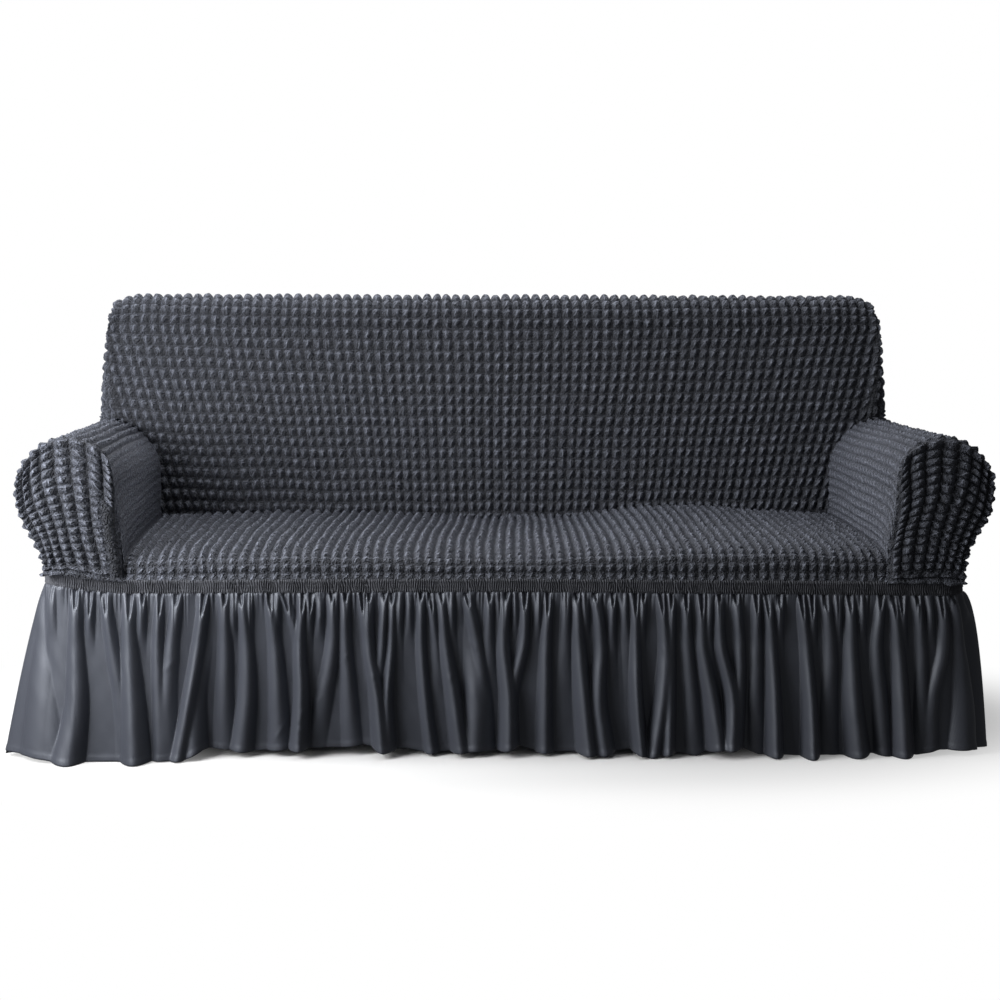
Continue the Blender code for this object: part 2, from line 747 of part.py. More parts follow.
def strip_end():
    """Where the front and back strips end: just round the corner, where the sides begin."""
    return BAND_HALF_WIDTH - BAND_CORNER + BAND_CORNER * math.pi / 2


def build_skirt(cloth):
    end = strip_end()
    level = np.array(HIDDEN_LIFTS)
    outward_x = (np.array([-1.0, 0, 0]), np.array([1.0, 0, 0]))
    nodes = ridge_and_valley_nodes(
        FRONT_FOLDS, (-end, end), (JOINT_REACH["front_left"], JOINT_REACH["front_right"]))
    grid = strip_grid(nodes, FRONT_ROWS, FRONT_SAMPLES, outline_place, np.array(HEM_LIFTS))
    build_strip("skirt_front", grid, (0, -1, 0), outward_x, cloth)

    folds = hidden_folds(BACK_FOLDS, -end, end, HIDDEN_REACH["back"], seed=7)
    nodes = ridge_and_valley_nodes(folds, (-end, end), (JOINT_REACH["back_left"], JOINT_REACH["back_right"]))
    grid = strip_grid(nodes, SIDE_ROWS, SIDE_SAMPLES, lambda place: outline_place(place, rear=True), level)
    build_strip("skirt_back", grid, (0, 1, 0), outward_x, cloth)

    y_front = outline_place(end)[0][1]
    y_back = outline_place(end, rear=True)[0][1]
    for side, label, seed in ((-1, "left", 11), (1, "right", 13)):
        folds = hidden_folds(SIDE_FOLDS, y_front, y_back, HIDDEN_REACH[label], seed)
        reaches = (JOINT_REACH["front_" + label], JOINT_REACH["back_" + label])
        nodes = ridge_and_valley_nodes(folds, (y_front, y_back), reaches)
        out = np.array([float(side), 0, 0])
        grid = strip_grid(
            nodes, SIDE_ROWS, SIDE_SAMPLES,
            lambda place: (np.array([side * BAND_HALF_WIDTH, place, 0.0]), out), level)
        build_strip("skirt_" + label, grid, out, (out, out), cloth)


def main():
    for old in list(bpy.data.objects):
        bpy.data.objects.remove(old)
    build_bubble_cloth(material("bubble_cloth", CHARCOAL, 0.9))
    build_band(material("shirred_band", BAND_CHARCOAL, 0.85))
    build_skirt(material("skirt_satin", SATIN_CHARCOAL, 0.6))


main()
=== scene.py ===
"""The dressed look of a fitted slipcover for a three-seater sofa.

Metres, +Z up. The front faces -Y and +X is the viewer's right. Bubble cloth covers the back, seat and
arms, a shirred elastic band runs round below it, and a gathered skirt of smooth cloth hangs to the floor.
Each sewn piece is one sheet, laid on the same surface as its solid, with its bubbles or folds as shape.
"""

import math
from functools import partial

import bmesh
import bpy
import mathutils
import numpy as np
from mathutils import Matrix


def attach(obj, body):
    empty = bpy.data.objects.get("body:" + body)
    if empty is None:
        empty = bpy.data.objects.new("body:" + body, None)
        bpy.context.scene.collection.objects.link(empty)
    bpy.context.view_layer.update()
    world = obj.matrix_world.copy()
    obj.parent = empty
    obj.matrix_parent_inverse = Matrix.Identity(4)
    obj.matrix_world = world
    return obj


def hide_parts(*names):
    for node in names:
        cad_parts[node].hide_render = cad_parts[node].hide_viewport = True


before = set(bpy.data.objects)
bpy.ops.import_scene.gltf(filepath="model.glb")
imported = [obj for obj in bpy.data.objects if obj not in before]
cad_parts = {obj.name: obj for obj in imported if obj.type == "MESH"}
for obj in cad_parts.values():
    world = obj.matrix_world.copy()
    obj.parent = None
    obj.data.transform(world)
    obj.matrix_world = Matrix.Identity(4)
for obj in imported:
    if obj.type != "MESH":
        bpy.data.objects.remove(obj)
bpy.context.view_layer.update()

# Bubble cloth
RELIEF = 0.0105  # from the valleys between bubbles up to the solid's face
TIP = 0.0035  # how far the bubbles' tips stand beyond it
ROLL_LIFT = 0.005  # extra height of the puffed cloth over the backrest's roll
VALLEY_PACKING = 0.25  # how much closer the mesh lines lie in the valleys
SEAM_REACH = 0.016  # the widest gap between two panels' edges that their seam draws together
FOOT_RISE = 0.008  # height over the band within which the cloth comes out to it
SEAM_FADE = 0.35  # share of a bubble over which it sinks to a seam
SEAT_SQUEEZE = 1.5  # rows by which the seat's first rows are drawn together over its front edge
SEAT_LEAN = 0.028  # share of the width by which the ribs left of the middle lean over towards the rear
SEAT_SWELLS = (
    # x, lift of the seat's rear in metres: three soft places with dips between them
    (-0.80, 0.000), (-0.55, 0.002), (-0.30, 0.001), (-0.15, -0.004), (0.05, -0.004), (0.16, -0.009),
    (0.22, -0.006), (0.32, 0.006), (0.42, 0.009), (0.52, 0.006), (0.62, 0.000), (0.80, 0.000),
)
SEAM_RISE = 0.65  # how much nearer to the solid's face a seam lies than the valleys
SEAM_TURN = 0.9  # share of a bubble over which a panel's edge turns towards its neighbour
COLUMN_PITCH = 0.024
ROW_PITCH = 0.026
BUBBLE_DRIFT = 0.07  # how far rows and columns wander, in bubbles
SEAM_HOLD = 0.6  # share of SEAM_REACH up to which a seam closes wholly
HIDDEN_FOOT = 0.001  # how far a sleeve runs on below the band's top
SEAT_FRONT_ROWS = (2.7, 0.6)  # rows over the seat's front edge, and the fade to the rest
SEAT_FRONT_FLATTER = 0.0055  # how much less relief they have
SEAT_SQUEEZE_RUN = 3.0  # rows over which the squeeze dies out
SEAT_LEAN_MIDDLE = -0.35  # middle and half width of the leaning ribs, as shares of the seat's half width
SEAT_LEAN_HALF = 0.65
SEAT_LEAN_START = 0.1  # share of the way to the rear at which they begin to lean
ROLL_BUBBLES = (0.905, 0.03)  # height at which the bubbles over the roll begin, and the run up to it

# How far the bubbles are pulled in between rows, how full they are, and the share of crumpled folds
BUBBLE_SHAPES = {
    "inside_back": (0.94, 1.75, 0.40),
    "roll": (0.94, 3.45, 0.10),
    "seat": (0.30, 2.30, 0.30),
    "seat_front": (0.80, 2.30, 0.30),
    "outside_back": (0.88, 2.30, 0.35),
    "back_end": (0.88, 2.60, 0.30),
    "sleeve": (0.35, 2.40, 0.25),
    "inner_face": (0.35, 4.00, 0.25),
    "facing": (0.95, 2.40, 0.28),
    "facing_rolls": (0.45, 2.20, 0.35),
}

# Band: the line between bubble cloth and skirt sinks a little from left to right
BAND_LINE = (
    # x, height of the band's middle line: it rises under the outer side of the left arm
    (-0.970, 0.3765), (-0.930, 0.3750), (-0.890, 0.3710),
    (-0.850, 0.3650), (-0.790, 0.3600), (-0.700, 0.3595),
    (-0.020, 0.3600), (0.826, 0.3495), (0.970, 0.3480),
)
BAND_HEIGHT = 0.024
BAND_HALF_WIDTH = 0.950
BAND_FRONT_Y = -0.402
BAND_REAR_Y = 0.402
BAND_CORNER = 0.055
BAND_SINK = 0.0008  # how far its stitch lines lie behind the outline
BAND_PUFF = 0.0022  # how far the cloth puffs out between them
BAND_PLEAT = 0.0026  # how far a pleat stands out
BAND_TUCK = 0.0015  # how far the band runs on below its foot
BAND_LAP = 0.0035  # how far it laps over the bubble cloth
BAND_SEAM_DEPTH = 0.0005  # how far behind the band's line the seat's foot is sewn

# Backrest
CREASE_Z = 0.431
FACE_FOOT_Y = 0.199
FACE_LEAN = 0.030
FACE_CURVE = 0.036
FACE_HEIGHT = 0.441  # from the crease to where the top roll begins
CORNER_START_X = 0.80
CORNER_DEPTH = 0.010
CORNER_RUN = 0.12
ROLL_MIDDLE_Y = 0.340
ROLL_HEIGHT = 0.072
ROLL_POWER = 2.3
ROLL_STEPS = 8
REAR_SEAM_Y = 0.414
TOP_CORNER_DROP = 0.030
TOP_CORNER_START = 0.925  # share of the half width where the top edge begins to round down
ROLL_NARROWING = 0.004

# Column places across the backrest and the seat, as shares of the half width: closer at the ends
COLUMN_SHARES = (0.0, 0.14, 0.28, 0.42, 0.56, 0.70, 0.82, 0.91, 0.96, 1.0)

# Arm outline from the seat to the crest: place at the front seam and at the backrest
ARM_INNER = (
    # front x, front z, rear x, rear z
    (0.780, 0.373, 0.793, 0.431),
    (0.782, 0.425, 0.793, 0.470),
    (0.789, 0.460, 0.793, 0.510),
    (0.795, 0.515, 0.795, 0.545),
    (0.797, 0.575, 0.800, 0.575),
    (0.808, 0.622, 0.821, 0.607),
    (0.827, 0.646, 0.841, 0.630),
    (0.856, 0.660, 0.872, 0.650),
    (0.898, 0.665, 0.901, 0.658),
)

# Arm outline from the crest down the outer side to the band
ARM_OUTER = (
    # front x, front z, rear x, rear z
    (0.898, 0.665, 0.901, 0.658),
    (0.935, 0.655, 0.928, 0.655),
    (0.963, 0.635, 0.946, 0.638),
    (0.984, 0.606, 0.956, 0.605),
    (0.996, 0.575, 0.960, 0.565),
    (0.998, 0.545, 0.961, 0.525),
    (0.994, 0.513, 0.960, 0.485),
    (0.983, 0.483, 0.959, 0.450),
    (0.967, 0.452, 0.958, 0.425),
    (0.952, 0.418, 0.957, 0.400),
    (0.946, 0.373, 0.956, 0.373),
)
ARM_INNER_STEPS = 9
ARM_OUTER_STEPS = 8
ARM_FRONT_Y = -0.408
FACING_MIDDLE = (0.878, 0.535)  # x and z of the crown's middle
FACING_CROWN = 0.017
FACING_SHOULDERS = (6, 12)  # points of the arm's outline between which the facing's top edge runs
FACING_STEPS = 12

# Seat from the band over its front edge to the crease, with the sleeve's rows beside it
SEAT_ROWS = (
    # y, z, half width, y of the arm sleeve's row higher up
    (-0.394, 0.373, 0.7810, -0.399),
    (-0.393, 0.392, 0.7820, -0.388),
    (-0.384, 0.408, 0.7830, -0.372),
    (-0.362, 0.418, 0.7840, -0.350),
    (-0.320, 0.423, 0.7850, -0.310),
    (-0.220, 0.428, 0.7870, -0.215),
    (-0.100, 0.431, 0.7890, -0.100),
    (0.030, 0.433, 0.7910, 0.020),
    (0.130, 0.433, 0.7920, 0.120),
    (0.199, 0.431, 0.7930, 0.199),
)
SEAT_FRONT_BULGE = 0.009
SEAT_EDGE_RUN = 1 / 3  # share of the rows over which the front edge rounds over
SEAT_HALF_WIDTH = 0.79
SEAT_SPLIT_X = 0.03  # where the two seat cushions meet
SEAT_CROWN_LEFT = 0.011
SEAT_CROWN_RIGHT = 0.015
SEAT_CROWN_FULLNESS = 0.6  # below 1 the crown is flat-topped
SLEEVE_SHEAR_STEPS = 4  # outline steps over which the sleeve's rows turn from upright to the seat's edge

# Backrest seam line above the arms, from the arm's crest to the foot of the top roll
SEAM_ABOVE_ARM = (
    # z, half width
    (0.658, 0.901), (0.712, 0.910), (0.766, 0.919), (0.820, 0.924), (0.872, 0.921),
)

# Outermost half width of the backrest's ends by height
END_WIDTHS = (
    # z, half width
    (0.373, 0.957), (0.520, 0.961), (0.655, 0.951), (0.705, 0.950),
    (0.770, 0.944), (0.830, 0.937), (0.872, 0.932),
)
END_HANDLE_FRONT = 0.012
END_HANDLE_LOW = 0.060
END_HANDLE_REAR = 0.020

# Rear panel by height
REAR_ROWS = (
    # z, y, half width
    (0.373, 0.408, 0.905),
    (0.450, 0.414, 0.908),
    (0.600, 0.418, 0.912),
    (0.750, 0.418, 0.917),
    (0.872, 0.414, 0.921),
)
REAR_BULGE = 0.006

# Lattice of the backrest: its columns fan out from the seat to the top
BACK_COLUMNS = 77
BACK_SIDE_COLUMNS = 3  # more columns beyond each side, cut off by the seam
BACK_FOOT_HALF = 0.800
BACK_TOP_HALF = 0.925
BACK_ROW_SAG = 0.018  # how much lower the rows run in the middle
BACK_ROW_DRIFT = 0.0022  # how far the backrest's rows wander, in metres
BACK_COLUMN_DRIFT = 0.0016
BACK_SIDE_RISE = 0.008  # distance from the side seam over which the bubbles rise
CREST_RUN = 0.02  # height over the arm's crest within which the back's seams begin
LOW_SEAM_RUN = 0.10  # height below the arm's rounding over which its seam sinks in
SLEEVE_RUN_ON = 0.3  # how far the inner face runs on behind the backrest, in rows of its grid
SLEEVE_RUN_ON_FADE = 1.5  # columns before the arm's top over which that ends
SLEEVE_END_RISE = 0.15  # rows before the sleeve's rear end over which its bubbles sink
FACING_DRIFT = (0.010, 0.012)  # how far rows and columns of the facing wander
FACING_DRIFT_PITCH = 1.5  # how much shorter its waves are than elsewhere
BACK_FOOT_SINK = 0.020  # how far the panel runs on below the crease
BEHIND_ARM = 0.012  # how far it runs on behind the arms' ends

SEAT_COLUMNS = 75
SEAT_ROW_COUNT = 27
SLEEVE_RIBS = 30
SLEEVE_BUBBLES = 24
FACING_COLUMNS = 8
FACING_ROWS = 17
FACING_COLUMN_SPREAD = 0.22  # how much wider the columns are at the inner side than at the outer
ARM_MIDDLE_X = 0.89
ARM_HALF_WIDTH = 0.105
ARM_ROUND_Z = 0.555  # where the arm's outline begins to round over
ARM_ROUND_HEIGHT = 0.11
FACING_ROW_SPREAD = 1.10  # above 1, the rows lie closer at the band
ARM_CREST_Z = 0.645
INNER_FACE_END = {-1: 5.2, 1: 6.5}  # column of the sleeve's grid at which its calm inner face ends
FACING_CALM = {-1: 1.0, 1: 0.0}  # how calm the facing is along its inner edge
FACING_CALM_COLUMNS = (1.0, 0.6)  # columns from the inner edge at which the calm part ends, and its fade
FACING_CALM_ROWS = (9.5, 3.0)  # the same in rows from the band
FACING_CALM_SHARE = 0.8  # share by which bubbles are pulled flat there
FACING_CALM_RELIEF = 0.003  # relief there
FACING_BUNCHED = (1.2, 1.0)  # rows above the band in which the cloth is bunched into rolls, and their fade
INNER_FACE_CALM = {-1: 0.8, 1: 0.0}  # share by which the bubbles of the inner face are pulled flat
INNER_FACE_RELIEF = {-1: 0.0030, 1: 0.0034}
INNER_FACE_FADE = 2.5  # columns beyond INNER_FACE_END over which the calm ends
PULLED_SHADE_SHARE = 0.62  # share of a pulled-flat bubble's height that still counts for the painted shade and light of its colour
FACING_SHADE_SHARE = 0.1  # the same for the calm part of a facing
REAR_COLUMNS = 77
REAR_BUBBLE_ROWS = 20
END_COLUMNS = 8
END_ROWS = 22

# Shirred band
PLEAT_PITCH = 0.0046
PLEAT_SAMPLES = 4
PLEAT_SLANT = 0.5  # pleats across which one pleat leans from the band's foot to its top
BAND_ROWS = 9
STITCH_LINES = 3

# Skirt
FORK_RUN = (0.06, 0.17)  # shares of the drop
FORK_FOLD = 8  # reach in mm near the band from which a fold forks
FORK_WIDTH = 0.75  # share of the fold's half width
FORK_DEPTH = 0.0075
GATHER_END = 0.09  # share of the drop by which the gathers have opened into folds
GATHER_START = 0.6  # reach in mm of every fold at the band itself
GATHER_FULLNESS = 1.35  # reach just below the band against the table's
FINE_GATHER = 0.0008  # how far the fine pleats at the band stand out
WIDE_GATHER = 0.0034  # the same for the wide ones below them
GATHER_PATCH = 0.013  # distance along the band over which the small pleats change
GATHER_STRENGTH = (0.2, 1.0)  # shares of their full reach
GATHER_DRIFT = 0.3  # how far they wander, in pleats
GATHER_RUNS = (0.5, 1.6)  # how much sooner or later they die out than at the runs below
FINE_RUN = 0.035  # shares of the drop over which fine and wide pleats die out
WIDE_RUN = 0.11
RIPPLES = 14  # soft waves of the cloth, and their size
RIPPLE_SIZE = 0.0004
RIPPLE_PITCHES = (0.03, 0.12)
RIPPLE_LEAN = 0.6  # largest slope against the vertical
SKIRT_COLUMN = 0.0016
RIDGE_SPREAD = 1.35  # foot of a fold against the half width in the table
RIDGE_UNION = 4  # how sharply neighbouring folds run together
WIDE_PLEAT = 0.0150
CREASE_HALF_WIDTH = 0.0040
HIDDEN_COLUMN = 0.0020
HEM_RIDGE = 0.0009  # how far the rolled hem stands out
HEM_TURN = 0.0016
HEM_START = 0.962  # share of the drop at which the rolled hem begins
STRIP_TUCK = 0.002  # how far the skirt runs up behind the band
HIDDEN_LIFT = 0.002  # height above the floor of a hem out of view
CLOTH_FULLNESS = 1.8  # length of cloth gathered into a length of band
CLOTH_DROP = 0.35  # length of cloth from the band to the hem
SKIRT_DROP = 0.345
JOINT_RUN = 0.018  # distance from a joint over which two strips take on the same reach

# Reach of the hem where the strips meet
JOINT_REACH = {
    # reach at the hem, power of its growth down the drop
    "front_left": (0.094, 0.80),
    "front_right": (0.068, 0.42),
    "back_left": (0.040, 0.90),
    "back_right": (0.036, 0.90),
}

# Strips out of view
BACK_FOLDS = 22
SIDE_FOLDS = 8
HIDDEN_REACH = {"back": 0.036, "left": 0.068, "right": 0.057}
HIDDEN_FOLD_DEPTH = 0.030
DEPTH_RANGE = (0.70, 1.25)  # as shares of the depth
PLACE_RANGE = 0.12  # share of the pitch by which a fold starts off its even place
LEAN_RANGE = 0.18  # share of the pitch by which it leans on its way down

# Ridges of the front skirt, left to right: places run along the band's outline from its middle, and
# reach is how far a ridge stands out of the valley beside it
FRONT_RIDGES = (
    # place at the band, a third down, two thirds down, at the hem; reach in mm just below the band, a
    # third down, two thirds down, at the hem; half width in mm at the band, at the hem
    (-0.981, -0.969, -0.952, -0.944, 7, 9, 16, 20, 12, 30),
    (-0.928, -0.931, -0.933, -0.932, 7, 2, 0, 0, 7, 12),
    (-0.880, -0.882, -0.882, -0.898, 9, 16, 26, 34, 9, 22),
    (-0.852, -0.856, -0.862, -0.868, 8, 1, 0, 0, 7, 12),
    (-0.823, -0.809, -0.791, -0.785, 9, 14, 9, 3, 9, 16),
    (-0.774, -0.774, -0.769, -0.766, 10, 20, 32, 42, 10, 24),
    (-0.746, -0.753, -0.761, -0.762, 9, 2, 0, 0, 7, 14),
    (-0.711, -0.718, -0.715, -0.712, 8, 12, 12, 12, 7, 15),
    (-0.675, -0.690, -0.700, -0.698, 8, 12, 13, 12, 9, 17),
    (-0.620, -0.636, -0.656, -0.679, 10, 18, 28, 30, 9, 16),
    (-0.616, -0.626, -0.644, -0.648, 0, 2, 14, 30, 10, 20),
    (-0.582, -0.582, -0.587, -0.590, 9, 14, 15, 12, 9, 18),
    (-0.560, -0.569, -0.575, -0.580, 7, 1, 0, 0, 7, 12),
    (-0.548, -0.539, -0.541, -0.555, 9, 15, 22, 26, 8, 20),
    (-0.530, -0.534, -0.539, -0.543, 7, 2, 0, 0, 6, 12),
    (-0.491, -0.481, -0.477, -0.476, 9, 15, 20, 20, 8, 19),
    (-0.475, -0.477, -0.479, -0.479, 7, 2, 0, 0, 6, 12),
    (-0.461, -0.434, -0.430, -0.432, 8, 8, 0, 0, 8, 10),
    (-0.421, -0.430, -0.429, -0.436, 10, 21, 34, 42, 8, 17),
    (-0.404, -0.415, -0.423, -0.431, 8, 4, 2, 0, 7, 14),
    (-0.386, -0.391, -0.397, -0.402, 7, 2, 0, 0, 7, 12),
    (-0.363, -0.363, -0.382, -0.404, 9, 15, 12, 5, 9, 18),
    (-0.337, -0.337, -0.331, -0.326, 9, 15, 15, 10, 8, 17),
    (-0.304, -0.295, -0.286, -0.278, 8, 7, 0, 0, 7, 10),
    (-0.287, -0.290, -0.273, -0.263, 9, 18, 32, 44, 8, 17),
    (-0.256, -0.262, -0.271, -0.261, 9, 15, 8, 0, 7, 12),
    (-0.241, -0.243, -0.252, -0.248, 8, 15, 24, 30, 7, 12),
    (-0.225, -0.229, -0.232, -0.232, 7, 4, 0, 0, 7, 12),
    (-0.205, -0.207, -0.209, -0.211, 6, 1, 0, 0, 6, 12),
    (-0.182, -0.182, -0.174, -0.161, 8, 13, 17, 20, 7, 12),
    (-0.164, -0.151, -0.145, -0.140, 8, 8, 1, 0, 7, 12),
    (-0.141, -0.132, -0.115, -0.100, 9, 17, 28, 38, 8, 17),
    (-0.121, -0.118, -0.110, -0.094, 7, 3, 0, 0, 7, 12),
    (-0.090, -0.067, -0.051, -0.048, 8, 13, 14, 18, 9, 15),
    (-0.082, -0.073, -0.068, -0.071, 0, 4, 22, 32, 14, 24),
    (-0.041, -0.042, -0.039, -0.031, 8, 8, 2, 0, 8, 14),
    (-0.023, -0.022, -0.021, -0.019, 5, 1, 0, 0, 6, 12),
    (-0.006, -0.013, -0.002, -0.001, 9, 17, 30, 40, 8, 18),
    (0.012, 0.013, 0.015, 0.016, 6, 1, 0, 0, 6, 12),
    (0.031, 0.028, 0.006, 0.006, 9, 17, 12, 0, 8, 14),
    (0.059, 0.057, 0.054, 0.052, 7, 2, 0, 0, 7, 12),
    (0.080, 0.075, 0.074, 0.074, 9, 15, 20, 24, 8, 15),
    (0.116, 0.115, 0.113, 0.111, 7, 6, 2, 0, 8, 14),
    (0.136, 0.143, 0.153, 0.165, 9, 18, 32, 46, 8, 19),
    (0.154, 0.158, 0.166, 0.176, 7, 0, 0, 4, 6, 12),
    (0.175, 0.188, 0.184, 0.198, 9, 17, 28, 40, 8, 19),
    (0.211, 0.211, 0.214, 0.216, 8, 6, 0, 0, 7, 12),
    (0.232, 0.243, 0.253, 0.260, 7, 5, 2, 0, 8, 12),
    (0.257, 0.260, 0.263, 0.273, 9, 17, 30, 42, 8, 14),
    (0.275, 0.271, 0.276, 0.289, 8, 4, 2, 6, 6, 14),
    (0.309, 0.322, 0.316, 0.299, 9, 17, 27, 36, 8, 18),
    (0.333, 0.333, 0.332, 0.329, 8, 13, 24, 38, 7, 14),
    (0.362, 0.368, 0.379, 0.387, 8, 10, 11, 8, 8, 15),
    (0.395, 0.399, 0.419, 0.435, 8, 15, 26, 38, 8, 17),
    (0.412, 0.412, 0.432, 0.448, 7, 8, 2, 0, 7, 12),
    (0.431, 0.436, 0.460, 0.459, 9, 17, 30, 44, 8, 16),
    (0.464, 0.476, 0.476, 0.471, 8, 13, 19, 28, 8, 14),
    (0.507, 0.512, 0.512, 0.516, 8, 9, 9, 6, 8, 14),
    (0.530, 0.542, 0.549, 0.552, 9, 16, 28, 40, 8, 16),
    (0.557, 0.558, 0.561, 0.564, 8, 3, 0, 0, 7, 12),
    (0.599, 0.614, 0.623, 0.627, 9, 16, 30, 46, 8, 16),
    (0.625, 0.628, 0.635, 0.639, 8, 4, 2, 0, 7, 12),
    (0.651, 0.665, 0.664, 0.664, 8, 11, 10, 8, 9, 18),
    (0.675, 0.683, 0.686, 0.689, 7, 2, 0, 0, 7, 12),
    (0.703, 0.708, 0.714, 0.726, 9, 17, 29, 40, 9, 21),
    (0.727, 0.731, 0.737, 0.744, 7, 3, 0, 0, 7, 12),
    (0.769, 0.762, 0.772, 0.783, 8, 12, 15, 22, 8, 17),
    (0.792, 0.806, 0.814, 0.820, 9, 17, 29, 40, 8, 20),
    (0.811, 0.818, 0.829, 0.838, 8, 4, 0, 0, 7, 12),
    (0.842, 0.855, 0.859, 0.861, 8, 11, 12, 10, 8, 15),
    (0.869, 0.875, 0.879, 0.883, 7, 2, 0, 0, 7, 12),
    (0.893, 0.902, 0.880, 0.877, 8, 10, 12, 14, 8, 16),
    (0.917, 0.936, 0.945, 0.941, 9, 16, 24, 32, 9, 20),
    (0.950, 0.981, 0.981, 0.981, 7, 6, 8, 8, 8, 14),
)
FRONT_VALLEYS = (
    # place, reach of the valleys at the hem
    (-0.981, 0.060), (-0.930, 0.020), (-0.880, 0.008), (-0.800, 0.010), (-0.720, 0.008),
    (-0.660, -0.010), (-0.600, -0.034), (-0.300, -0.030), (0.000, -0.026), (0.150, -0.022),
    (0.300, -0.014), (0.500, -0.006), (0.650, 0.004), (0.850, 0.000), (0.940, 0.010),
    (0.981, 0.040),
)
DRAG_CREASES = (
    # place, share of the way down, at the other end the same; height in mm
    (-0.668, 0.36, -0.714, 0.48, 1.5),
    (-0.343, 0.43, -0.328, 0.39, 1.2),
    (-0.356, 0.46, -0.347, 0.43, 1.0),
    (-0.286, 0.55, -0.272, 0.50, 1.2),
    (-0.440, 0.78, -0.382, 0.66, 2.0),
    (-0.442, 0.81, -0.414, 0.78, 1.6),
    (-0.441, 0.86, -0.412, 0.85, 1.4),
    (-0.396, 0.20, -0.382, 0.13, 1.2),
    (-0.130, 0.54, -0.110, 0.50, 1.3),
    (-0.088, 0.29, -0.064, 0.37, 1.4),
    (-0.498, 0.72, -0.484, 0.69, 1.0),
    (-0.492, 0.96, -0.452, 0.78, 1.6),
    (0.310, 0.32, 0.325, 0.38, 1.0),
)
HEM_LIFTS = (
    # place, height of the hem above the floor
    (-1.03, 0.003), (-0.99, 0.011), (-0.95, 0.012), (-0.90, 0.000), (-0.67, 0.002), (-0.63, 0.020),
    (-0.53, 0.010), (-0.44, 0.017), (-0.35, 0.017), (-0.30, 0.023), (-0.26, 0.012), (-0.21, 0.014),
    (-0.17, 0.005), (-0.07, 0.013), (-0.03, 0.010), (0.02, 0.020), (0.06, 0.007), (0.20, 0.005),
    (0.25, 0.013), (0.29, 0.000), (0.34, 0.008), (0.39, 0.000), (0.43, 0.016), (0.48, 0.018),
    (0.52, 0.003), (0.62, 0.000), (0.66, 0.004), (0.71, 0.000), (0.75, 0.005), (0.80, 0.000),
    (0.85, 0.001), (0.89, 0.011), (0.94, 0.011), (0.98, 0.003), (1.03, 0.001),
)

CHARCOAL = (0.047, 0.051, 0.063, 1.0)
CREASE_HIGHLIGHT_WIDTH = 0.13  # half width of the creases painted as highlights on each bubble, in cells
CREASE_HIGHLIGHT_WOBBLE = 0.30  # how far they wander, in cells
CREASE_HIGHLIGHT_SLOPES = (1.1, -0.1)  # range and least value of the slanting crease's slope
CREASE_HIGHLIGHT_SHIFT = 0.22  # range of its place
CREASE_HIGHLIGHT_LEVELS = (0.22, 0.08)  # range and least value of the upper crease's height
SATIN_CHARCOAL = (0.046, 0.050, 0.063, 1.0)
BAND_CHARCOAL = (0.050, 0.053, 0.065, 1.0)
COOL_SHEEN = (0.72, 0.78, 1.0, 1.0)
SATIN_SHEEN = (0.75, 0.80, 1.0, 1.0)
WHITE = (1.0, 1.0, 1.0, 1.0)

# Stage, light and camera
FLOOR_HALF = 7.0
FLOOR_DROP = 0.0005  # how far the floor lies below the hem's lowest point
FLOOR_STRETCH = (0.62, 1.05, 1.0)  # the shadows' part of the floor is wider than deep
FLOOR_FADE = (0.45, 0.95)  # stretched distances between which the floor turns white
WORLD_STRENGTH = 0.09
LIGHTS = (
    # name, place, target, size, watts
    ("window", (-1.6, -1.1, 1.0), (-0.6, 0.0, 0.6), (0.8, 0.8), 38),
    ("low_left", (-1.6, -1.8, 0.6), (-0.8, -0.3, 0.3), (0.7, 0.7), 11),
    ("high_left", (-1.5, -1.2, 1.8), (-0.7, 0.0, 0.5), (0.8, 0.8), 4),
    ("above", (-0.5, -0.3, 2.6), (-0.3, 0.0, 0.5), (1.4, 0.8), 28),
    ("behind", (-0.6, 1.2, 2.4), (-0.2, 0.2, 0.8), (2.0, 1.0), 42),
    ("right", (1.6, -0.6, 2.2), (0.7, 0.0, 0.5), (0.8, 0.8), 1.5),
)
CAMERA_PLACE = (-0.1728, -3.9955, 0.963)
CAMERA_TURNS = (2.4212, 6.7523, 0.1724)  # to the right, down and clockwise, in degrees
CAMERA_LENS = 64.06

# ---------------------------------------------------------------- curves

def looked_up(table, at, column=1):
    """A table's column, read between its rows at places in its first column."""
    table = np.asarray(table, float)
    return np.interp(at, table[:, 0], table[:, column])


def reach_along(line):
    """Distance from a line's start to each of its points."""
    return np.concatenate([[0], np.cumsum(np.linalg.norm(np.diff(line, axis=0), axis=1))])


def band_middle(x):
    return looked_up(BAND_LINE, x)


def band_top(x):
    return band_middle(x) + BAND_HEIGHT / 2


def band_bottom(x):
    return band_middle(x) - BAND_HEIGHT / 2


def ease(t):
    t = np.clip(t, 0.0, 1.0)
    return t * t * (3 - 2 * t)


def fading(at, start, run):
    """1 up to a place, falling to 0 over a run beyond it."""
    return 1 - ease((at - start) / run)


def unit(vectors):
    length = np.linalg.norm(vectors, axis=-1, keepdims=True)
    return vectors / np.maximum(length, 1e-12)


def spline(points, steps):
    """Points at equal distances along a smooth curve through the given ones."""
    points = np.asarray(points, float)
    before = np.vstack([2 * points[0] - points[1], points[:-2]])
    after = np.vstack([points[2:], 2 * points[-1] - points[-2]])
    dense = []
    for p0, p1, p2, p3 in zip(before, points[:-1], points[1:], after):
        for t in np.linspace(0, 1, 16, endpoint=False):
            bend = (2 * p0 - 5 * p1 + 4 * p2 - p3) * t * t + (3 * p1 - p0 - 3 * p2 + p3) * t ** 3
            dense.append(p1 + 0.5 * ((p2 - p0) * t + bend))
    dense.append(points[-1])
    dense = np.array(dense)
    reach = reach_along(dense)
    places = np.linspace(0, reach[-1], steps + 1)
    return np.stack([np.interp(places, reach, dense[:, axis]) for axis in range(dense.shape[1])], axis=1)


def column_places():
    shares = np.array(COLUMN_SHARES)
    return np.concatenate([-shares[:0:-1], shares])


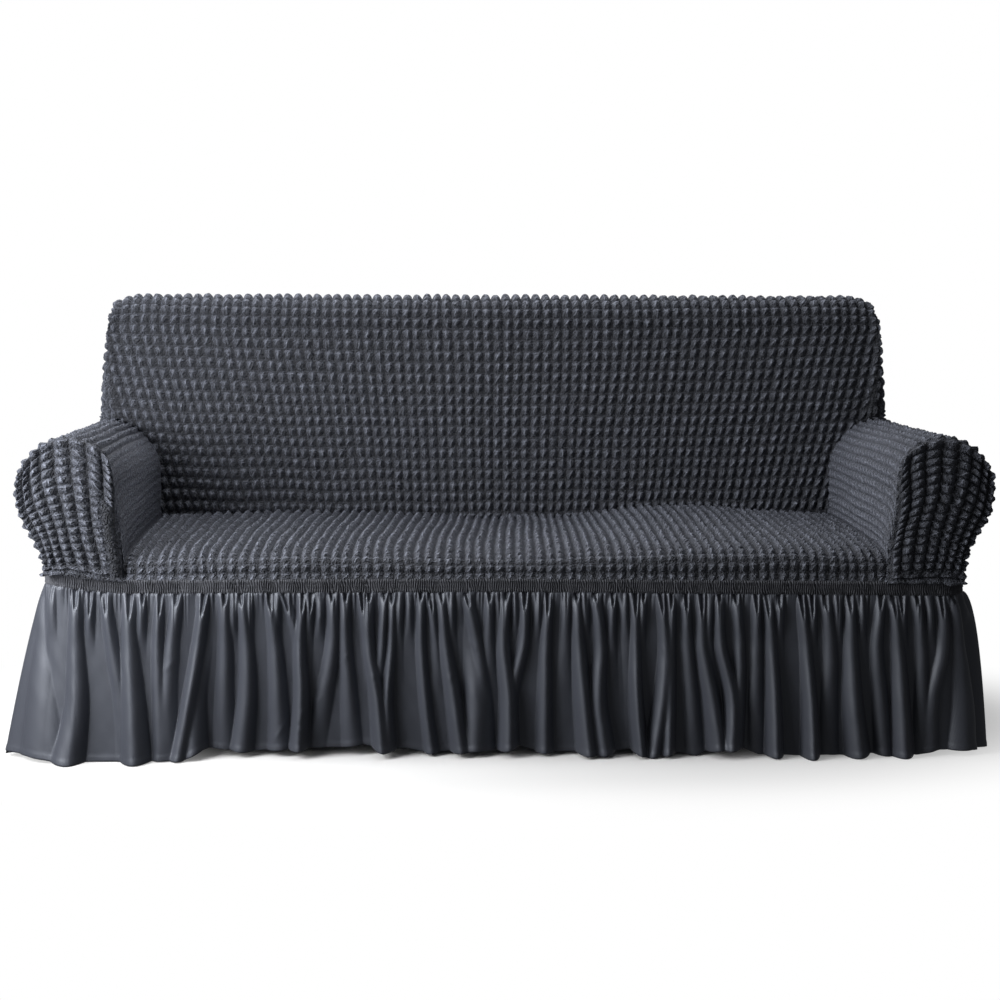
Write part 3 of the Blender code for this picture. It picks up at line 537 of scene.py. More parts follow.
def face_y(x, z):
    """Depth of the backrest's front face: it leans back and rounds away towards its ends."""
    t = np.clip((z - CREASE_Z) / FACE_HEIGHT, -0.2, 1.0)
    corner = CORNER_DEPTH * ease((np.abs(x) - CORNER_START_X) / CORNER_RUN)
    return FACE_FOOT_Y + FACE_LEAN * t + FACE_CURVE * t * t + corner


# ---------------------------------------------------------------- bubble cloth panels
# A panel is a grid of points on the outer face, indexed [row, column], and the way that it faces.

def seat_crown(x):
    """Height of the two soft seat cushions above the seat's own line."""
    left = np.clip((x + SEAT_HALF_WIDTH) / (SEAT_SPLIT_X + SEAT_HALF_WIDTH), 0, 1)
    right = np.clip((x - SEAT_SPLIT_X) / (SEAT_HALF_WIDTH - SEAT_SPLIT_X), 0, 1)
    return (SEAT_CROWN_LEFT * np.sin(math.pi * left) ** SEAT_CROWN_FULLNESS
            + SEAT_CROWN_RIGHT * np.sin(math.pi * right) ** SEAT_CROWN_FULLNESS)


def seat_points():
    u = column_places()
    rows = []
    for index, (y, z, half, _) in enumerate(SEAT_ROWS):
        along = index / (len(SEAT_ROWS) - 1)
        x = u * half
        over_edge = min(1.0, along / SEAT_EDGE_RUN)
        bulge = SEAT_FRONT_BULGE * (1 - u ** 4) * math.sin(math.pi * over_edge)
        crown = seat_crown(x) * ease(over_edge)
        rows.append(np.stack([x, y - bulge, z + crown], axis=1))
    rows[0][:, 2] = band_top(rows[0][:, 0])
    return np.array(rows)


def arm_outlines():
    """The right arm's outline at its front seam and at the backrest, with equal numbers of points."""
    inner = np.array(ARM_INNER)
    outer = np.array(ARM_OUTER)
    front = np.vstack([spline(inner[:, :2], ARM_INNER_STEPS), spline(outer[:, :2], ARM_OUTER_STEPS)[1:]])
    rear = np.vstack([spline(inner[:, 2:], ARM_INNER_STEPS), spline(outer[:, 2:], ARM_OUTER_STEPS)[1:]])
    return front, rear


def sleeve_points(side, seat):
    """One arm's sleeve: rows run over the arm from the seat to the band, columns from front to rear."""
    front, rear = arm_outlines()
    edge = seat[:, -1] if side > 0 else seat[:, 0]
    count = len(front)
    y_rows = np.array([ARM_FRONT_Y] + [row[3] for row in SEAT_ROWS])
    grid = np.zeros((count, len(y_rows), 3))
    for k in range(count):
        shear = 1 - ease(k / SLEEVE_SHEAR_STEPS)
        y_end = face_y(rear[k, 0], rear[k, 1])
        for j, y_row in enumerate(y_rows):
            f = (y_row - ARM_FRONT_Y) / (y_rows[-1] - ARM_FRONT_Y)
            x = front[k, 0] + (rear[k, 0] - front[k, 0]) * f
            z = front[k, 1] + (rear[k, 1] - front[k, 1]) * f
            y = ARM_FRONT_Y + (y_end - ARM_FRONT_Y) * f
            if j > 0 and k <= ARM_INNER_STEPS:
                foot = front[0, 1] + (rear[0, 1] - front[0, 1]) * f
                high = ARM_INNER_STEPS
                crest = front[high, 1] + (rear[high, 1] - front[high, 1]) * f
                share = (crest - z) / (crest - foot)
                z = crest - (crest - edge[j - 1, 2]) * share
                y = y + (edge[j - 1, 1] - y) * shear
                x = x + (abs(edge[j - 1, 0]) - x) * shear
            grid[k, j] = (side * x, y, z)
    grid[0, 0, 2] = band_top(grid[0, 0, 0])
    grid[-1, :, 2] = band_top(grid[-1, :, 0])
    return grid


def inside_back_points(seat, sleeves):
    """Backrest face and top roll: rows run from the crease up and over to the rear seam."""
    u = column_places()
    rows = [seat[-1]]
    crease = seat[-1]
    steps = ARM_INNER_STEPS
    for r in range(1, steps + 1):
        share = r / steps
        middle = CREASE_Z + (ARM_INNER[-1][3] - CREASE_Z) * share
        edges = np.where(u < 0, sleeves[-1][r, -1, 2], sleeves[1][r, -1, 2])
        widths = np.where(u < 0, -sleeves[-1][r, -1, 0], sleeves[1][r, -1, 0])
        crown = (crease[:, 2] - CREASE_Z) * (1 - share) ** 2
        z = middle + (edges - middle) * np.abs(u) ** 6 + crown
        x = u * widths
        z[[0, -1]] = edges[[0, -1]]
        rows.append(np.stack([x, face_y(x, z), z], axis=1))
    for z, half in SEAM_ABOVE_ARM[1:]:
        x = u * half
        rows.append(np.stack([x, face_y(x, z), np.full_like(x, z)], axis=1))
    rows.extend(roll_point(u, math.pi * step / ROLL_STEPS) for step in range(1, ROLL_STEPS + 1))
    return np.array(rows)


def rear_curves(z):
    return looked_up(REAR_ROWS, z), looked_up(REAR_ROWS, z, 2)


def outside_back_points(inside_back):
    """Rear panel, from the band up to the rear seam."""
    u = column_places()
    rows = []
    row_count = ARM_OUTER_STEPS + len(SEAM_ABOVE_ARM) - 1
    top_z = SEAM_ABOVE_ARM[-1][0]
    foot_z = REAR_ROWS[0][0]
    for index in range(row_count):
        z = foot_z + (top_z - foot_z) * index / row_count
        y, half = rear_curves(z)
        x = u * half
        bulge = REAR_BULGE * (1 - u ** 4) * math.sin(math.pi * index / row_count)
        rows.append(np.stack([x, y + bulge, np.full_like(x, z)], axis=1))
    rows.append(inside_back[-1])
    rows[0][:, 2] = band_top(rows[0][:, 0])
    return np.array(rows)


def bezier(start, first, second, end, t):
    t = t[:, None]
    return (1 - t) ** 3 * start + 3 * (1 - t) ** 2 * t * first + 3 * (1 - t) * t * t * second + t ** 3 * end


def back_end_points(side, sleeve, inside_back, outside_back):
    """End gusset: rows run from the band up, columns from the front seam round to the rear seam."""
    column = -1 if side > 0 else 0
    low = sleeve[:ARM_INNER_STEPS - 1:-1, -1]
    first_roll = ARM_INNER_STEPS + len(SEAM_ABOVE_ARM) - 1
    high = inside_back[ARM_INNER_STEPS + 1:first_roll, column]
    fronts = np.vstack([low, high])
    rears = outside_back[:-1, column]
    t = np.linspace(0, 1, ROLL_STEPS + 1)
    rows = []
    for index, (start, end) in enumerate(zip(fronts, rears)):
        middle_z = (start[2] + end[2]) / 2
        width = looked_up(END_WIDTHS, middle_z)
        ends = (abs(start[0]) + abs(end[0])) / 8
        handle_x = side * (width - ends) * 8 / 6  # so that the curve's middle lies at the width
        handle_y = END_HANDLE_LOW if index < len(low) - 1 else END_HANDLE_FRONT
        first = np.array([handle_x, start[1] + handle_y, start[2]])
        second = np.array([handle_x, end[1] - END_HANDLE_REAR, end[2]])
        rows.append(bezier(start, first, second, end, t))
    rows.append(inside_back[first_roll:, column])
    rows[0][:, 2] = band_top(rows[0][:, 0])
    return np.array(rows)


# ---------------------------------------------------------------- smooth surfaces

def cubic_weights(t):
    return (0.5 * (-t + 2 * t ** 2 - t ** 3), 0.5 * (2 - 5 * t ** 2 + 3 * t ** 3),
            0.5 * (t + 4 * t ** 2 - 3 * t ** 3), 0.5 * (t ** 3 - t ** 2))


def on_surface(grid, row, column):
    """Smooth points of a coarse grid at fractional rows and columns; it runs straight on past its edges."""
    for _ in range(2):
        grid = np.concatenate([2 * grid[:1] - grid[1:2], grid, 2 * grid[-1:] - grid[-2:-1]])
        before, after = 2 * grid[:, :1] - grid[:, 1:2], 2 * grid[:, -1:] - grid[:, -2:-1]
        grid = np.concatenate([before, grid, after], axis=1)
    row = np.clip(np.asarray(row, float) + 2, 1, grid.shape[0] - 2.001)
    column = np.clip(np.asarray(column, float) + 2, 1, grid.shape[1] - 2.001)
    row, column = np.broadcast_arrays(row, column)
    r = np.floor(row).astype(int)
    c = np.floor(column).astype(int)
    total = 0
    for i, row_weight in enumerate(cubic_weights(row - r)):
        for j, column_weight in enumerate(cubic_weights(column - c)):
            total = total + (row_weight * column_weight)[..., None] * grid[r - 1 + i, c - 1 + j]
    return total


def even_index(line, share):
    """Fractional index of the points that lie at even shares of the way along a line."""
    reach = reach_along(line)
    reach = reach / reach[-1]
    first = 1 / reach[1]
    last = 1 / (1 - reach[-2])
    inside = np.interp(share, reach, np.arange(len(line)))
    return inside + np.minimum(share, 0) * first + np.maximum(share - 1, 0) * last


def smooth_through(nodes, values, at):
    """Smooth curves through a table's values: one curve for each column of the table."""
    nodes = np.asarray(nodes, float)
    values = np.asarray(values, float)
    slopes = np.gradient(values, nodes, axis=0)
    at = np.clip(at, nodes[0], nodes[-1])
    i = np.clip(np.searchsorted(nodes, at, side="right") - 1, 0, len(nodes) - 2)
    span = nodes[i + 1] - nodes[i]
    t = (at - nodes[i]) / span
    extra = (slice(None),) + (None,) * (values.ndim - 1)
    span = span[extra]
    t = t[extra]
    return ((1 + 2 * t) * (1 - t) ** 2 * values[i] + t * (1 - t) ** 2 * span * slopes[i]
            + t * t * (3 - 2 * t) * values[i + 1] + t * t * (t - 1) * span * slopes[i + 1])


def grid_normals(grid, faces):
    """Outward unit normals of a fine grid of points."""
    along = np.gradient(grid, axis=0)
    across = np.gradient(grid, axis=1)
    normal = unit(np.cross(across, along))
    if np.dot(normal.reshape(-1, 3).mean(axis=0), faces) < 0:
        normal = -normal
    return normal


def wander(a, b, seed, size):
    """A slow, uneven drift over a lattice."""
    random = np.random.default_rng(seed)
    total = 0
    for _ in range(5):
        turn_a, turn_b = random.uniform(-0.7, 0.7, 2)
        total = total + np.sin(a * turn_a + b * turn_b + random.uniform(0, 2 * math.pi))
    return size * total / 2.2


# ---------------------------------------------------------------- bubbles

def mesh_lines(count, steps, before=0, after=0):
    """Lattice coordinates of the mesh lines: some to each bubble, closer together in the valleys."""
    t = np.arange(steps) / steps
    inner = t - VALLEY_PACKING * np.sin(2 * math.pi * t) / (2 * math.pi)
    cells = np.arange(-before, count + after)
    return np.append((cells[:, None] + inner).ravel(), count + after)


def bubbles(a, b, seed, pinch, fullness, crumple, mirror=1):
    """Height of the bubbles above the valleys, from 0 to about 1, at lattice coordinates.

    Each bubble is a small puff pulled in by the elastic threads. A slanting fold and a fold along its upper
    edge cross it, so that it catches the light like a crumpled 7.
    """
    cell_a = np.clip(np.floor(a + 1e-9), a.min(), a.max() - 1).astype(int)
    cell_b = np.clip(np.floor(b + 1e-9), b.min(), b.max() - 1).astype(int)
    s = 2 * (a - cell_a) - 1
    t = 2 * (b - cell_b) - 1
    cell_a = cell_a - cell_a.min()
    cell_b = cell_b - cell_b.min()
    table = np.random.default_rng(seed).uniform(-1, 1, (6, cell_a.max() + 1, cell_b.max() + 1))
    size, slide, tilt, turn, offset, fold = table[:, cell_a, cell_b]
    across = np.clip(1 - np.abs(s + 0.18 * slide * (1 - s * s)) ** fullness, 0, 1) ** 1.2
    along = np.clip(1 - np.abs(t + 0.18 * tilt * (1 - t * t)) ** (1.2 * fullness), 0, 1) ** 1.2
    along = 1 - pinch * (1 - along)
    slope = np.where(fold > -0.6, 0.50, -0.45) + 0.35 * turn
    slant = (mirror * s - slope * t + 0.25 * offset) / np.sqrt(1 + slope ** 2)
    diagonal = np.exp(-(slant / 0.30) ** 2)
    bar = (0.55 + 0.45 * fold) * np.exp(-((t - 0.48 - 0.14 * tilt) / 0.26) ** 2)
    crest = np.maximum(diagonal, bar)
    return across * along * (1 - crumple + crumple * crest) * (0.90 + 0.12 * size)


def mixed_shape(first, second, share):
    """The shape of bubbles that change from one kind to another."""
    return [p + (q - p) * share for p, q in zip(BUBBLE_SHAPES[first], BUBBLE_SHAPES[second])]


def seam_fade(places, low, high):
    """0 at a panel's sewn edges, rising to 1 within a part of a bubble."""
    return ease((places - low) / SEAM_FADE) * ease((high - places) / SEAM_FADE)


def turned_edge(places, low, high):
    """1 at two opposite edges of a panel, falling to 0 inside: how far its edge turns to its neighbour."""
    return fading(places, low, SEAM_TURN), fading(-places, -high, SEAM_TURN)


def turned(normal, share, direction):
    """Normals that turn at a seam into the direction that the panels on both its sides share."""
    return unit(normal * (1 - share)[..., None] + direction * share[..., None])


def arm_seam_direction(points, side):
    """Where the facing meets the sleeve: halfway between forward and out of the arm's outline."""
    across = (points[..., 0] - side * ARM_MIDDLE_X) / ARM_HALF_WIDTH
    up = np.maximum(points[..., 2] - ARM_ROUND_Z, 0) / ARM_ROUND_HEIGHT
    outward = unit(np.stack([across, 0 * up, up], axis=-1))
    return unit(outward + np.array([0, -1.0, 0]))


def back_seam_direction(points):
    """Where the backrest's panels meet its ends: halfway between sideways and out of the roll."""
    depth = (points[..., 1] - ROLL_MIDDLE_Y) / (REAR_SEAM_Y - ROLL_MIDDLE_Y)
    up = np.maximum(points[..., 2] - SEAM_ABOVE_ARM[-1][0], 0) / ROLL_HEIGHT
    outward = unit(np.stack([0 * up, depth, up], axis=-1))
    return unit(outward + np.sign(points[..., :1]) * np.array([1.0, 0, 0]))


# ---------------------------------------------------------------- meshes

def grid_faces(rows, columns, closed=False):
    r, c = np.meshgrid(np.arange(rows - 1), np.arange(columns if closed else columns - 1), indexing="ij")
    a = r * columns + c
    b = r * columns + (c + 1) % columns
    return np.stack([a, b, b + columns, a + columns], axis=-1).reshape(-1, 4)


def cloth_piece(name, grid, faces, maps, puff, material, closed=False, inside=None):
    """A sheet from a grid of points, with its UV maps and, for bubble cloth, its height as an attribute, by
    which the material paints shade into the valleys and light onto the crests.
    """
    rows, columns = grid.shape[:2]
    quads = grid_faces(rows, columns, closed)
    points = grid.reshape(-1, 3)
    corners = points[quads]
    area_normal = np.cross(corners[:, 2] - corners[:, 0], corners[:, 3] - corners[:, 1]) / 2
    if np.dot(area_normal.sum(axis=0), faces) < 0:
        quads = quads[:, ::-1]
    solid = np.linalg.norm(area_normal, axis=1) > 2e-9
    if inside is not None:
        solid &= inside.reshape(-1)[quads].any(axis=1)
    quads = quads[solid]
    mesh = bpy.data.meshes.new(name)
    mesh.from_pydata(points, [], quads)
    for title, (u, v) in maps.items():
        layer = mesh.uv_layers.new(name=title)
        flat = np.stack([u.reshape(-1)[quads].ravel(), v.reshape(-1)[quads].ravel()], axis=1)
        layer.uv.foreach_set("vector", flat.astype(np.float32).ravel())
    if puff is not None:
        attribute = mesh.attributes.new("puff", "FLOAT", "POINT")
        attribute.data.foreach_set("value", puff.astype(np.float32).ravel())
    weld = bmesh.new()
    weld.from_mesh(mesh)
    loose = [vertex for vertex in weld.verts if not vertex.link_faces]
    bmesh.ops.delete(weld, geom=loose, context="VERTS")
    bmesh.ops.remove_doubles(weld, verts=weld.verts, dist=0.00002)
    weld.to_mesh(mesh)
    weld.free()
    mesh.validate()
    mesh.materials.append(material)
    mesh.shade_smooth()
    piece = bpy.data.objects.new(name, mesh)
    bpy.context.scene.collection.objects.link(piece)
    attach(piece, "root")
    return piece


def unit_map(rows, columns):
    """A map that spreads the whole grid over the unit square."""
    v, u = np.meshgrid(np.linspace(0.002, 0.998, rows), np.linspace(0.002, 0.998, columns), indexing="ij")
    return u, v


def nearest_on(points, lines):
    """For every point the nearest place on any of the lines."""
    best = points.copy()
    best_distance = np.full(len(points), np.inf)
    for line in lines:
        start = line[:-1]
        run = line[1:] - start
        length = np.maximum((run ** 2).sum(axis=1), 1e-12)
        share = np.clip(((points[:, None] - start) * run).sum(axis=2) / length, 0, 1)
        places = start + share[..., None] * run
        distance = np.linalg.norm(points[:, None] - places, axis=2)
        nearest = distance.argmin(axis=1)
        found = distance[np.arange(len(points)), nearest]
        closer = found < best_distance
        best[closer] = places[np.arange(len(points)), nearest][closer]
        best_distance = np.minimum(found, best_distance)
    return best


def sewn(grid, places, axis, last, lines):
    """Draws one edge of a grid, and less and less of the bubbles beside it, onto its neighbours' edges."""
    edge = np.take(grid, -1 if last else 0, axis=axis)
    shift = nearest_on(edge, lines) - edge
    gap = np.linalg.norm(shift, axis=1, keepdims=True)
    shift *= fading(gap, SEAM_HOLD * SEAM_REACH, (1 - SEAM_HOLD) * SEAM_REACH)
    away = np.abs(places - (places.max() if last else places.min()))
    return grid + np.expand_dims(shift, axis) * (1 - ease(away))[..., None]


def bubble_piece(node, base, normal, a, b, height, relief, at_seam, faces, material, inside=None, puff=None,
                 sewn_to=()):
    """A panel of bubble cloth, and the grid of its points, to which its neighbours are sewn."""
    high_up = ease((base[..., 2] - ARM_ROUND_Z + LOW_SEAM_RUN) / LOW_SEAM_RUN)
    valley = relief * (1 - SEAM_RISE * at_seam * high_up)
    valley = valley * ease((base[..., 2] - band_top(base[..., 0])) / FOOT_RISE)
    grid = base + normal * (height * relief * (1 + TIP / RELIEF) - valley)[..., None]
    for axis, last, lines in sewn_to:
        grid = sewn(grid, a if axis else b, axis, last, lines)
    maps = {"OFBake": unit_map(*a.shape), "lattice": (a, b)}
    puff = height if puff is None else puff
    piece = cloth_piece(node + "_cloth", grid, faces, maps, puff, material, inside=inside)
    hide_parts(node)
    return piece, grid


# ---------------------------------------------------------------- bubble cloth

def back_profile():
    """Distance up the backrest's middle, from its foot to the rear seam, with the height or roll angle."""
    z = np.linspace(CREASE_Z - BACK_FOOT_SINK, SEAM_ABOVE_ARM[-1][0], 80)
    face = np.stack([np.full_like(z, face_y(0.0, z)), z], axis=1)
    angles = np.linspace(0, math.pi, 80)[1:]
    roll = np.array([roll_point(np.zeros(1), angle)[0, 1:] for angle in angles])
    line = np.vstack([face, roll])
    return reach_along(line), z, angles


def roll_point(u, angle):
    """Points of the roll over the top of the backrest, at shares of its half width and at an angle."""
    foot_z, half = SEAM_ABOVE_ARM[-1]
    round_share = np.clip((np.abs(u) - TOP_CORNER_START) / (1 - TOP_CORNER_START), 0, 1)
    corner = 1 - np.sqrt(1 - round_share ** 2)
    sine = np.maximum(np.sin(angle), 0.0)
    height = sine ** (2 / ROLL_POWER)
    swing = np.sign(-np.cos(angle)) * np.abs(np.cos(angle)) ** (2 / ROLL_POWER)
    x = u * (half - ROLL_NARROWING * height)
    front = face_y(x, foot_z)
    reach = np.where(swing < 0, ROLL_MIDDLE_Y - front, REAR_SEAM_Y - ROLL_MIDDLE_Y)
    z = foot_z + ROLL_HEIGHT * height - TOP_CORNER_DROP * corner * sine
    return np.stack([x, ROLL_MIDDLE_Y + swing * reach, z], axis=-1)


def back_seam(z):
    """Half width of the inside back at a height: behind the arms it runs on a little past their faces."""
    rear = np.array(ARM_INNER)[:, 3:1:-1]
    behind = rear + np.array([0, BEHIND_ARM])
    return looked_up(np.vstack([behind[:-1], SEAM_ABOVE_ARM]), z)


def build_inside_back(material):
    reach, face_z, angles = back_profile()
    rows = round(reach[-1] / ROW_PITCH)
    pitch = reach[-1] / rows
    a_lines = mesh_lines(BACK_COLUMNS, 7, BACK_SIDE_COLUMNS, BACK_SIDE_COLUMNS)
    b_lines = mesh_lines(rows, 6)
    b, a = np.meshgrid(b_lines, a_lines, indexing="ij")
    u = 2 * a / BACK_COLUMNS - 1
    sag = BACK_ROW_SAG * (np.abs(u) ** 2.2 - 0.3) * np.sin(math.pi * b / rows) ** 0.7
    place = np.clip(b * pitch + sag + wander(a, b, 3, BACK_ROW_DRIFT), 0, reach[-1])
    face_length = reach[len(face_z) - 1]
    z = np.interp(place, reach[:len(face_z)], face_z)
    angle = np.interp(place, reach[len(face_z) - 1:], np.concatenate([[0], angles]))
    share = np.clip((z - CREASE_Z) / FACE_HEIGHT, 0, 1)
    half = BACK_FOOT_HALF + (BACK_TOP_HALF - BACK_FOOT_HALF) * share
    free_x = u * half + wander(a, b, 4, BACK_COLUMN_DRIFT)
    top_half = SEAM_ABOVE_ARM[-1][1]
    on_face = place < face_length
    seam = np.where(on_face, back_seam(z), top_half)
    over = np.abs(free_x) - seam
    x = np.sign(free_x) * np.minimum(np.abs(free_x), seam)

    def points(across):
        face = np.stack([across, face_y(across, z), z], axis=-1)
        return np.where(on_face[..., None], face, roll_point(across / top_half, angle))

    at_seam = (1 - ease(-over / (SEAM_TURN * COLUMN_PITCH))) * ease((z - ARM_CREST_Z) / CREST_RUN)
    base = points(x)
    normal = turned(grid_normals(points(free_x), (0, -1, 0.5)), at_seam, back_seam_direction(base))
    rolled = np.clip((place - face_length) / (reach[-1] - face_length), 0, 1)
    base = base + normal * (ROLL_LIFT * np.sin(math.pi * rolled) * (1 - at_seam))[..., None]
    on_top = 1 - fading(base[..., 2], *ROLL_BUBBLES)
    height = bubbles(a, b, 5, *mixed_shape("inside_back", "roll", on_top))
    height = height * ease(-over / BACK_SIDE_RISE) * ease((rows - b) / SEAM_FADE)
    piece, made = bubble_piece("inside_back", base, normal, a, b, height, np.full_like(a, RELIEF), at_seam,
                               (0, -1, 0.5), material, over < 0)
    return made


class Panel:
    """A bubble panel over one coarse grid: lattice a runs along the grid's columns, b along its rows."""

    def __init__(self, grid, counts, steps, before, after, even_by, seed, faces, squeeze=0.0, lean=0.0):
        self.grid, self.counts, self.before, self.after = grid, counts, before, after
        self.seed, self.faces = seed, faces
        a_lines = mesh_lines(counts[0], steps[0], before[0], after[0])
        b_lines = mesh_lines(counts[1], steps[1], before[1], after[1])
        self.b, self.a = np.meshgrid(b_lines, a_lines, indexing="ij")
        calm = seam_fade(self.a, 0, counts[0]) * seam_fade(self.b, 0, counts[1])
        drift_a = calm * wander(self.a, self.b, seed + 1, BUBBLE_DRIFT)
        drift_b = calm * wander(self.a, self.b, seed, BUBBLE_DRIFT)
        far = 1 - np.exp(-np.maximum(self.b, 0) / SEAT_SQUEEZE_RUN)
        near_rows = squeeze * (far - (1 - math.exp(-counts[1] / SEAT_SQUEEZE_RUN)) * self.b / counts[1])
        u = (2 * self.a / counts[0] - 1 - SEAT_LEAN_MIDDLE) / SEAT_LEAN_HALF
        leaning = lean * ease(self.b / counts[1] - SEAT_LEAN_START) * np.maximum(1 - u ** 2, 0)
        self.row = even_index(grid[:, even_by[0]], (self.b + drift_b - near_rows) / counts[1])
        self.column = even_index(grid[even_by[1]], (self.a + drift_a) / counts[0] + leaning)

    def points(self):
        return on_surface(self.grid, self.row, self.column)

    def build(self, node, material, shape, relief=RELIEF, seams=(), mirror=1, height_share=1, inside=None,
              lift=None, sewn_to=()):
        base = self.points()
        if lift is not None:
            base[..., 2] += lift
        normal = grid_normals(base, self.faces)
        at_seam = 0 * self.a
        for share, direction in seams:
            normal = turned(normal, share, direction)
            at_seam = np.maximum(at_seam, share)
        fade = (seam_fade(self.a, -self.before[0], self.counts[0] + self.after[0])
                * seam_fade(self.b, -self.before[1], self.counts[1] + self.after[1]))
        height = bubbles(self.a, self.b, self.seed + 2, *shape, mirror) * fade * height_share
        relief = relief + np.zeros_like(self.a)
        return bubble_piece(node, base, normal, self.a, self.b, height, relief, at_seam, self.faces, material,
                            inside, height + PULLED_SHADE_SHARE * (1 - height_share), sewn_to)


def build_sleeve(side, label, grid, material):
    """The ribs run from front to rear, so the lattice's columns go round the arm."""
    panel = Panel(grid.transpose(1, 0, 2), (SLEEVE_RIBS, SLEEVE_BUBBLES), (6, 6), (1, 0), (0, 1),
                  (ARM_INNER_STEPS, 0), 20 if side < 0 else 30, (0, 0, 1))
    run_on = fading(panel.column, ARM_INNER_STEPS - SLEEVE_RUN_ON_FADE, SLEEVE_RUN_ON_FADE)
    last = grid.shape[1] - 1 + SLEEVE_RUN_ON * run_on
    spare = last - panel.row
    panel.row = np.minimum(panel.row, last)
    at_front = turned_edge(panel.b, 0, SLEEVE_BUBBLES)[0]
    on_inner = fading(panel.column, INNER_FACE_END[side], INNER_FACE_FADE)
    relief = RELIEF - (RELIEF - INNER_FACE_RELIEF[side]) * on_inner * (1 - at_front)
    base = panel.points()
    seams = [(at_front, arm_seam_direction(base, side))]
    kept = (spare > 0) & (base[..., 2] > band_top(base[..., 0]) - HIDDEN_FOOT)
    height_share = ease(spare / SLEEVE_END_RISE) * (1 - INNER_FACE_CALM[side] * on_inner)
    piece, made = panel.build("arm_sleeve_" + label, material, mixed_shape("sleeve", "inner_face", on_inner),
                              relief, seams, side, height_share, kept)
    return made


def facing_surface(sleeve):
    """The arm's facing as a grid: columns from the inner to the outer side, rows from the band up."""
    outline = sleeve[:, 0]
    shoulder_in, shoulder_out = FACING_SHOULDERS
    share = np.linspace(0, 1, FACING_STEPS + 1)

    def run(points, shares):
        return on_surface(np.stack([points, points], axis=1), even_index(points, shares), 0)

    foot_line = np.stack([outline[0], outline[-1]])
    foot = foot_line[0] + (foot_line[1] - foot_line[0]) * share[:, None]
    foot[:, 2] = band_top(foot[:, 0])
    top = run(outline[shoulder_in:shoulder_out + 1], share)
    inner = run(outline[:shoulder_in + 1], share)
    outer = run(outline[:shoulder_out - 1:-1], share)
    t = share[:, None, None]
    s = share[None, :, None]
    flat = ((1 - t) * foot[None] + t * top[None] + (1 - s) * inner[:, None] + s * outer[:, None]
            - (1 - t) * (1 - s) * foot[0] - (1 - t) * s * foot[-1] - t * (1 - s) * top[0] - t * s * top[-1])
    return flat, np.vstack([outline, foot[-2:0:-1]])


def crowned(points, side, loop):
    """Pushes the facing's points forward, most in its middle and not at all at its outline."""
    middle = np.array([side * FACING_MIDDLE[0], FACING_MIDDLE[1]])
    spokes = loop[:, [0, 2]] - middle
    bearing = np.arctan2(spokes[:, 1], side * spokes[:, 0])
    order = np.argsort(bearing)
    bearing = bearing[order]
    length = np.linalg.norm(spokes, axis=1)[order]
    bearing = np.concatenate([bearing[-1:] - 2 * math.pi, bearing, bearing[:1] + 2 * math.pi])
    length = np.concatenate([length[-1:], length, length[:1]])
    offset = points[..., [0, 2]] - middle
    turn = np.arctan2(offset[..., 1], side * offset[..., 0])
    share = np.clip(np.linalg.norm(offset, axis=-1) / np.interp(turn, bearing, length), 0, 1)
    raised = points.copy()
    raised[..., 1] = ARM_FRONT_Y - FACING_CROWN * np.sqrt(1 - share ** 2)
    return raised


def build_facing(side, label, sleeve, sleeve_edge, material):
    coarse, loop = facing_surface(sleeve)
    panel = Panel(coarse, (FACING_COLUMNS, FACING_ROWS), (10, 9), (0, 0), (0, 0), (0, 0),
                  40 if side < 0 else 50, (0, -1, 0))
    a, b = panel.a, panel.b
    fade = seam_fade(a, 0, FACING_COLUMNS) * seam_fade(b, 0, FACING_ROWS)
    last = coarse.shape[0] - 1
    slow_a, slow_b = a * FACING_DRIFT_PITCH, b * FACING_DRIFT_PITCH
    up = (b / FACING_ROWS) ** FACING_ROW_SPREAD
    row = last * (up + fade * wander(slow_a, slow_b, panel.seed, FACING_DRIFT[0]))
    across = a / FACING_COLUMNS
    across = across + FACING_COLUMN_SPREAD * across * (1 - across)
    column = last * (across + fade * wander(slow_a, slow_b, panel.seed + 1, FACING_DRIFT[1]))
    base = crowned(on_surface(coarse, row, column), side, loop)
    at_sides = np.maximum(*turned_edge(a, 0, FACING_COLUMNS))
    at_seam = np.maximum(at_sides, turned_edge(b, 0, FACING_ROWS)[1])
    normal = turned(grid_normals(base, (0, -1, 0)), at_seam, arm_seam_direction(base, side))
    height = bubbles(a, b, panel.seed + 2, *BUBBLE_SHAPES["facing"], -side)
    rolls = bubbles(b * 1.2, a * 0.55 + 0.3 * b, panel.seed + 3, *BUBBLE_SHAPES["facing_rolls"])
    height = (height + (rolls - height) * fading(b, *FACING_BUNCHED)) * fade
    flat_part = FACING_CALM[side] * fading(a, *FACING_CALM_COLUMNS) * fading(b, *FACING_CALM_ROWS)
    height = height * (1 - FACING_CALM_SHARE * flat_part)
    relief = RELIEF - (RELIEF - FACING_CALM_RELIEF) * flat_part * (1 - at_seam)
    edges = [sleeve_edge]
    piece, _ = bubble_piece("arm_front_" + label, base, normal, a, b, height, relief, at_seam,
                            (0, -1, 0), material, puff=height + FACING_SHADE_SHARE * flat_part,
                            sewn_to=[(1, False, edges), (1, True, edges), (0, True, edges)])


